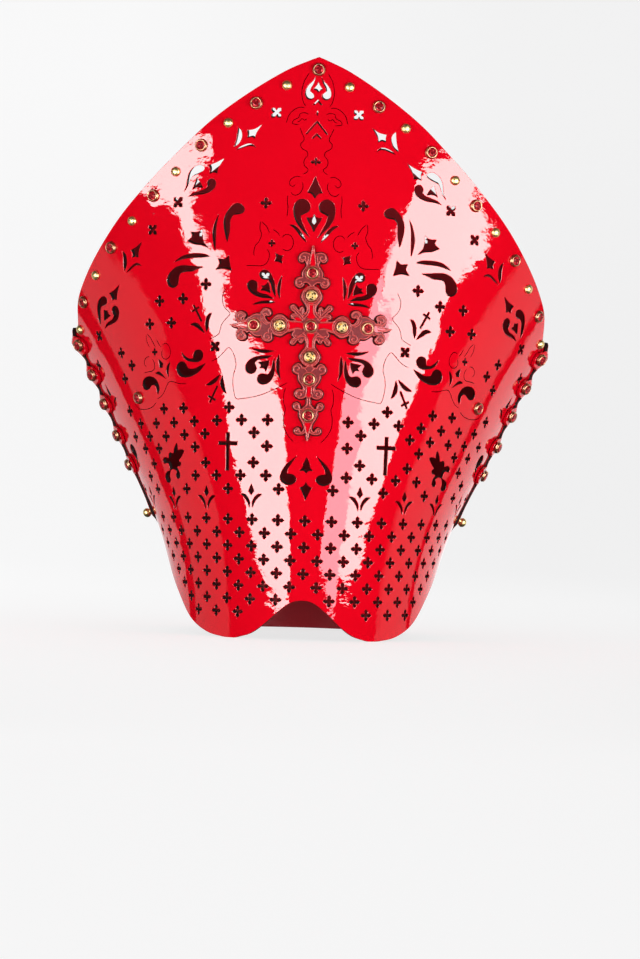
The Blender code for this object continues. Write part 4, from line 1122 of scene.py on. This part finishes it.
def rib(shape, bend, points, half_width, height, closed=False):
    """A rounded rib along these points of the flat sheet, raised off its face."""
    across = ((-1, 0), (-0.72, 0.62), (0, 1), (0.72, 0.62), (1, 0))
    count = len(points)
    row = None
    for i in range(count + 1 if closed else count):
        here = points[i % count]
        before = points[(i - 1) % count] if closed or i else points[0]
        after = points[(i + 1) % count] if closed or i < count - 1 else points[-1]
        along = (after - before).normalized()
        aside = Vector((-along.y, along.x))
        size = 1.0 if closed else min(1.0, 0.35 + 0.9 * min(i, count - 1 - i))
        places = []
        for side, up in across:
            p = here + aside * side * half_width * size
            places.append(bend(p.x, -up * height * size, p.y) * MM)
        if row is None:
            row = [shape.verts.new(place) for place in places]
            edges = [shape.edges.new(pair) for pair in zip(row, row[1:])]
            continue
        grown = bmesh.ops.extrude_edge_only(shape, edges=edges)
        edges = [part for part in grown["geom"] if isinstance(part, bmesh.types.BMEdge)]
        verts = [part for part in grown["geom"] if isinstance(part, bmesh.types.BMVert)]
        row = [min(verts, key=lambda v: (v.co - old.co).length_squared) for old in row]
        for vert, place in zip(row, places):
            vert.co = place


def finished(name, shape, smooth=True):
    """The shape's mesh as a new object: doubles merged, faces outwards."""
    bmesh.ops.remove_doubles(shape, verts=shape.verts[:], dist=0.002 * MM)
    bmesh.ops.recalc_face_normals(shape, faces=shape.faces[:])
    for face in shape.faces:
        face.smooth = smooth
    mesh = bpy.data.meshes.new(name)
    shape.to_mesh(mesh)
    shape.free()
    return placed(name, mesh)


def both_sides(points):
    """The line and, unless it lies on the centre line, its mirror image."""
    line = [Vector(p) for p in points]
    if max(abs(p.x) for p in line) < 0.01:
        return [line]
    return [line, [Vector((-p.x, p.y)) for p in line]]


def circle(middle, radius, count):
    """A round ring of this many points."""
    turns = [math.tau * i / count for i in range(count)]
    return [Vector((middle[0] + radius * math.cos(t), middle[1] + radius * math.sin(t))) for t in turns]


def scroll(middle, radius, start, wind):
    """A line that winds in from the rim of a round lobe."""
    count = int(abs(wind) / SCROLL_STEP)
    line = []
    for i in range(count + 1):
        angle = math.radians(start + wind * i / count)
        reach = radius * (1 - SCROLL_WINDS_IN * i / count)
        line.append(Vector((middle[0] + reach * math.cos(angle), middle[1] + reach * math.sin(angle))))
    return line


ribs = bmesh.new()
for kind, radii in RING_RADII.items():
    for middle in STONE_PLACES[kind]:
        for side in (1, -1) if middle[0] else (1,):
            for radius in radii:
                ring = circle((side * middle[0], middle[1]), radius, RING_POINTS)
                rib(ribs, bend_cross, ring, RING_HALF, RIB_HEIGHT, closed=True)
for row in SCROLLS:
    for line in both_sides(scroll(*row)):
        rib(ribs, bend_cross, line, SCROLL_HALF, RIB_HEIGHT)
for points in STEMS:
    for line in both_sides(smooth_line(points, 0.9)):
        rib(ribs, bend_cross, line, STEM_HALF, RIB_HEIGHT)
edge_ring = inset(inset(half_cut_out(CROSS_OUTLINE, CROSS_SPACING), RIM_ROUND), EDGE_RIB_IN)
rib(ribs, bend_cross, edge_ring, EDGE_HALF, EDGE_RIB_HEIGHT, closed=True)
cross_ribs = finished("cross_ribs", ribs)
# The ribs' own rose-brown, made lighter as a painted highlight where they catch the light.
rib_rose_and_highlight = grained(
    "rib_rose_and_highlight", (0.42, 0.056, 0.050), (0.24, 0.022, 0.022),
    scale=700.0, roughness=0.25, bump_height=0.00007, gloss=0.5,
)
cross_ribs.data.materials.append(rib_rose_and_highlight)
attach(cross_ribs, "root")
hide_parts("cross_overlay")

fields = bmesh.new()
for points in FIELDS:
    ring = mirrored(smooth_line(points, 1.0))
    verts = [fields.verts.new(bend_cross(p.x, -FIELD_RAISED, p.y) * MM) for p in ring]
    fields.faces.new(verts)
for points in ARM_FIELDS:
    for line in both_sides(points):
        ring = smooth_line(line + line[:1], 1.0)[:-1]
        fields.faces.new([fields.verts.new(bend_cross(p.x, -FIELD_RAISED, p.y) * MM) for p in ring])
bmesh.ops.triangulate(fields, faces=fields.faces[:])
cross_fields = finished("cross_fields", fields)
cross_fields.data.materials.append(patent_red)
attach(cross_fields, "root")
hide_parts("cross_overlay")

# The stones are cut glass, red or yellow, each over foil in a turned brass cup whose lip is rolled over it.
BORDER = (
    (0, 429.4, "stone"), (23.6, 417.1, "dome"), (46.3, 403.4, "stone"), (67.5, 388.5, "dome"),
    (88.3, 371.8, "stone"), (108.7, 352.3, "dome"), (127.7, 334.7, "stone"), (147.0, 316.1, "dome"),
    (168.5, 296.7, "stone"), (187.8, 276.4, "dome"), (207.8, 257.0, "stone"), (223.0, 236.5, "dome"),
)
SIDE_STONE = (150.5, 181.8)
CROSS_STONES = (
    (0, 276.3, "stone"), (0, 259.4, "yellow"), (0, 236.3, "stone"), (0, 213.2, "yellow"),
    (0, 196.5, "stone"),
    (0, 169.3, "stone"), (23.1, 236.5, "yellow"), (42.3, 236.4, "stone"),
)
# A ball stud stands this high, and this far in from the seam's corner at its foot.
BALL_HEIGHT, BALL_IN, SEAM_END = 94.5, 1.0, 93.0
# Turned profiles, as radius and height, and the sides of a turned piece.
STUD_SIDES = 24
CUP = (
    (4.6, 0.0), (4.9, 0.15), (4.95, 0.6), (4.8, 0.95), (4.45, 1.15), (4.5, 1.5), (4.42, 1.95), (4.15, 2.3),
    (3.85, 2.42), (3.5, 2.36), (3.3, 2.1), (3.2, 1.2), (0.0, 0.55),
)
# Rings of a cut stone, from its table down: radius, height and turn against the ring above.
FACETS = ((2.9, 2.72, 22.5), (3.62, 2.1, 22.5), (3.62, 1.8, 0.0), (1.6, 1.0, 0.0))
TABLE, TABLE_HEIGHT = 2.1, 3.02
# Each stone leans by this much in its cup, its own way, and is turned further than the last.
STONE_LEAN, STONE_TURN = 5.0, 17.0
# Painted reflections: the tone of each facet, which is the stone's own, a painted light or shade, or a
# painted glint, round the table, and in the ring round that.
TABLE_PAINTED_TONES = (0, 1, 0, 0, 2, 0, 1, 0)
CROWN_PAINTED_TONES = (1, 0, 2, 1, 0, 1, 0, 2)


def turned_stud(shape, profile, where):
    """A round body turned from its profile of radius and height, and set in its place."""
    verts = [shape.verts.new((r * MM, 0.0, h * MM)) for r, h in profile]
    edges = [shape.edges.new(pair) for pair in zip(verts, verts[1:])]
    bmesh.ops.spin(
        shape, geom=verts + edges, cent=(0, 0, 0), axis=(0, 0, 1), angle=math.tau,
        steps=STUD_SIDES, use_merge=True,
    )
    whole = {v for v in verts if v.is_valid}
    reach = list(whole)
    while reach:
        vert = reach.pop()
        for edge in vert.link_edges:
            other = edge.other_vert(vert)
            if other not in whole:
                whole.add(other)
                reach.append(other)
    bmesh.ops.transform(shape, matrix=where, verts=list(whole))


def cut_stone(shape, where, number):
    """A cut stone in flat facets, each with its own tone, a painted light or shade, or a painted glint, as
    painted reflections.
    """
    made = bmesh.ops.create_circle(
        shape, cap_ends=True, cap_tris=True, radius=TABLE, segments=8,
        matrix=Matrix.Translation((0, 0, TABLE_HEIGHT)),
    )
    verts = list(made["verts"])
    whole = list(verts)
    edges = [e for e in {e for v in verts for e in v.link_edges} if e.is_boundary]
    was = TABLE
    for radius, height, turn in FACETS:
        grown = bmesh.ops.extrude_edge_only(shape, edges=edges)
        edges = [part for part in grown["geom"] if isinstance(part, bmesh.types.BMEdge)]
        rim = [part for part in grown["geom"] if isinstance(part, bmesh.types.BMVert)]
        grow = Matrix.Diagonal((radius / was, radius / was, 1, 1))
        bmesh.ops.transform(shape, matrix=Matrix.Rotation(math.radians(turn), 4, "Z") @ grow, verts=rim)
        for vert in rim:
            vert.co.z = height
        whole += rim
        was = radius
    bmesh.ops.contextual_create(shape, geom=edges)
    faces = {face for vert in whole for face in vert.link_faces}
    bmesh.ops.triangulate(shape, faces=[f for f in faces if len(f.verts) == 4])
    for face in {face for vert in whole for face in vert.link_faces}:
        centre = face.calc_center_median()
        sector = int(math.degrees(math.atan2(centre.y, centre.x)) % 360 / 45.0)
        inside = math.hypot(centre.x, centre.y) < TABLE
        tones = TABLE_PAINTED_TONES if inside else CROWN_PAINTED_TONES
        face.material_index = tones[(sector + 3 * number) % 8]
    towards = (math.cos(2.4 * number), math.sin(2.4 * number), 0)
    lean = Matrix.Rotation(math.radians(STONE_LEAN), 4, towards)
    turn = Matrix.Rotation(math.radians(STONE_TURN * number), 4, "Z")
    bmesh.ops.transform(shape, matrix=where @ lean @ turn @ Matrix.Scale(MM, 4), verts=whole)


def stand(bend, across, height, raised):
    """The place of a stud that stands square on a face, this far off it."""
    place, normal = outward(bend, across, height)
    turn = Vector((0, 0, 1)).rotation_difference(normal).to_matrix().to_4x4()
    return Matrix.Translation((place + normal * raised) * MM) @ turn


red_sites, yellow_sites, dome_sites, ball_sites = [], [], [], []
for number, (across, height, kind) in enumerate(BORDER):
    for side, word in ((-1, "left"), (1, "right")):
        if across == 0 and side > 0:
            continue
        site = stand(bend_front, side * across, height, GAP)
        node = f"border_{kind}_{word}_{number}" if across else "apex_stone"
        (red_sites if kind == "stone" else dome_sites).append((node, site))
for side, word in ((-1, "left"), (1, "right")):
    red_sites.append((f"side_stone_{word}", stand(bend_front, side * SIDE_STONE[0], SIDE_STONE[1], GAP)))
    for number, height in enumerate(TAB_HEIGHTS, 1):
        across = side * (section(height, BACK_DEEPER)[2] + TAB_STONE)
        red_sites.append((f"seam_stone_{word}_{number}", stand(bend_back, across, height, 3 * GAP)))
    across = side * (section(SEAM_END, BACK_DEEPER)[2] - BALL_IN)
    ball_sites.append((f"ball_stud_{word}", stand(bend_back, across, BALL_HEIGHT, 2 * GAP)))
for number, (across, height, kind) in enumerate(CROSS_STONES, 1):
    for side in (-1, 1) if across else (1,):
        word = {-1: "_left", 1: "_right"}[side] if across else ""
        site = stand(bend_front, side * across, height, 2 * GAP + CROSS_THICK)
        (red_sites if kind == "stone" else yellow_sites).append((f"cross_{kind}_{number}{word}", site))

cups = bmesh.new()
for _, site in red_sites + yellow_sites:
    turned_stud(cups, CUP, site)
stone_cups = finished("stone_cups", cups)
red_cut, yellow_cut = bmesh.new(), bmesh.new()
for number, (_, site) in enumerate(red_sites):
    cut_stone(red_cut, site, number)
for number, (_, site) in enumerate(yellow_sites):
    cut_stone(yellow_cut, site, number)
red_stones = finished("red_stones", red_cut, False)
yellow_stones = finished("yellow_stones", yellow_cut, False)


def metal(name, colour, deep, roughness):
    """Polished brass with fine turning marks and a little tarnish."""
    made = grained(name, colour, deep, scale=500.0, roughness=roughness, bump_height=0.00001)
    made.node_tree.nodes["Principled BSDF"].inputs["Metallic"].default_value = 1.0
    return made


def foiled_glass(name, colour, deep, throwing=0.06):
    """Cut glass over bright foil: its facets throw light back in its own colour, and in white on top."""
    made = grained(name, colour, deep, scale=260.0, roughness=0.22, bump_height=0.000004, gloss=0.14)
    shader = made.node_tree.nodes["Principled BSDF"]
    shader.inputs["Metallic"].default_value = throwing
    shader.inputs["Coat Weight"].default_value = 0.07
    shader.inputs["Coat Roughness"].default_value = 0.04
    return made


bright_brass = metal("bright_brass", (0.60, 0.34, 0.19), (0.44, 0.23, 0.13), 0.34)
olive_brass = metal("olive_brass", (0.95, 0.76, 0.37), (0.76, 0.58, 0.23), 0.42)
stone_cups.data.materials.append(bright_brass)
# The red stones: their own dark red, a lit copy as a painted highlight, and a painted glint.
for glass in (
    foiled_glass("red_glass", (0.11, 0.001, 0.004), (0.07, 0.001, 0.003)),
    foiled_glass("red_glass_painted_lit", (0.25, 0.003, 0.008), (0.17, 0.002, 0.005)),
    foiled_glass("red_glass_painted_glint", (0.50, 0.04, 0.045), (0.36, 0.012, 0.02), 0.2),
):
    red_stones.data.materials.append(glass)
# The yellow stones: their own yellow, a dark copy as painted shade, and a painted glint.
for glass in (
    foiled_glass("yellow_glass", (0.50, 0.37, 0.17), (0.40, 0.27, 0.10)),
    foiled_glass("yellow_glass_painted_shade", (0.018, 0.011, 0.002), (0.04, 0.024, 0.004)),
    foiled_glass("yellow_glass_painted_glint", (0.46, 0.17, 0.012), (0.55, 0.34, 0.08), 0.2),
):
    yellow_stones.data.materials.append(glass)
for piece, sites, slot in (
    (stone_cups, red_sites + yellow_sites, "brass"),
    (red_stones, red_sites, "red_stones"),
    (yellow_stones, yellow_sites, "yellow_stones"),
):
    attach(piece, "root")
    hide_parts(*[node for node, _ in sites])

# Between the stones of the border stand brass domes, and a ball stud closes the foot of each seam.
DOME = ((3.75, 0.0), (3.7, 0.5), (3.45, 1.25), (2.9, 1.95), (2.1, 2.5), (1.1, 2.82), (0.0, 2.92))
BALL = (
    (2.9, 0.0), (2.9, 0.5), (2.2, 0.8), (2.5, 1.3), (3.2, 2.0), (3.65, 3.0), (3.72, 4.0), (3.35, 5.1),
    (2.6, 6.0), (1.4, 6.7), (0.0, 6.95),
)
domes = bmesh.new()
for _, site in dome_sites:
    turned_stud(domes, DOME, site)
for _, site in ball_sites:
    turned_stud(domes, BALL, site)
brass_studs = finished("brass_studs", domes)
brass_studs.data.materials.append(olive_brass)
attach(brass_studs, "root")
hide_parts(*[node for node, _ in dome_sites + ball_sites])
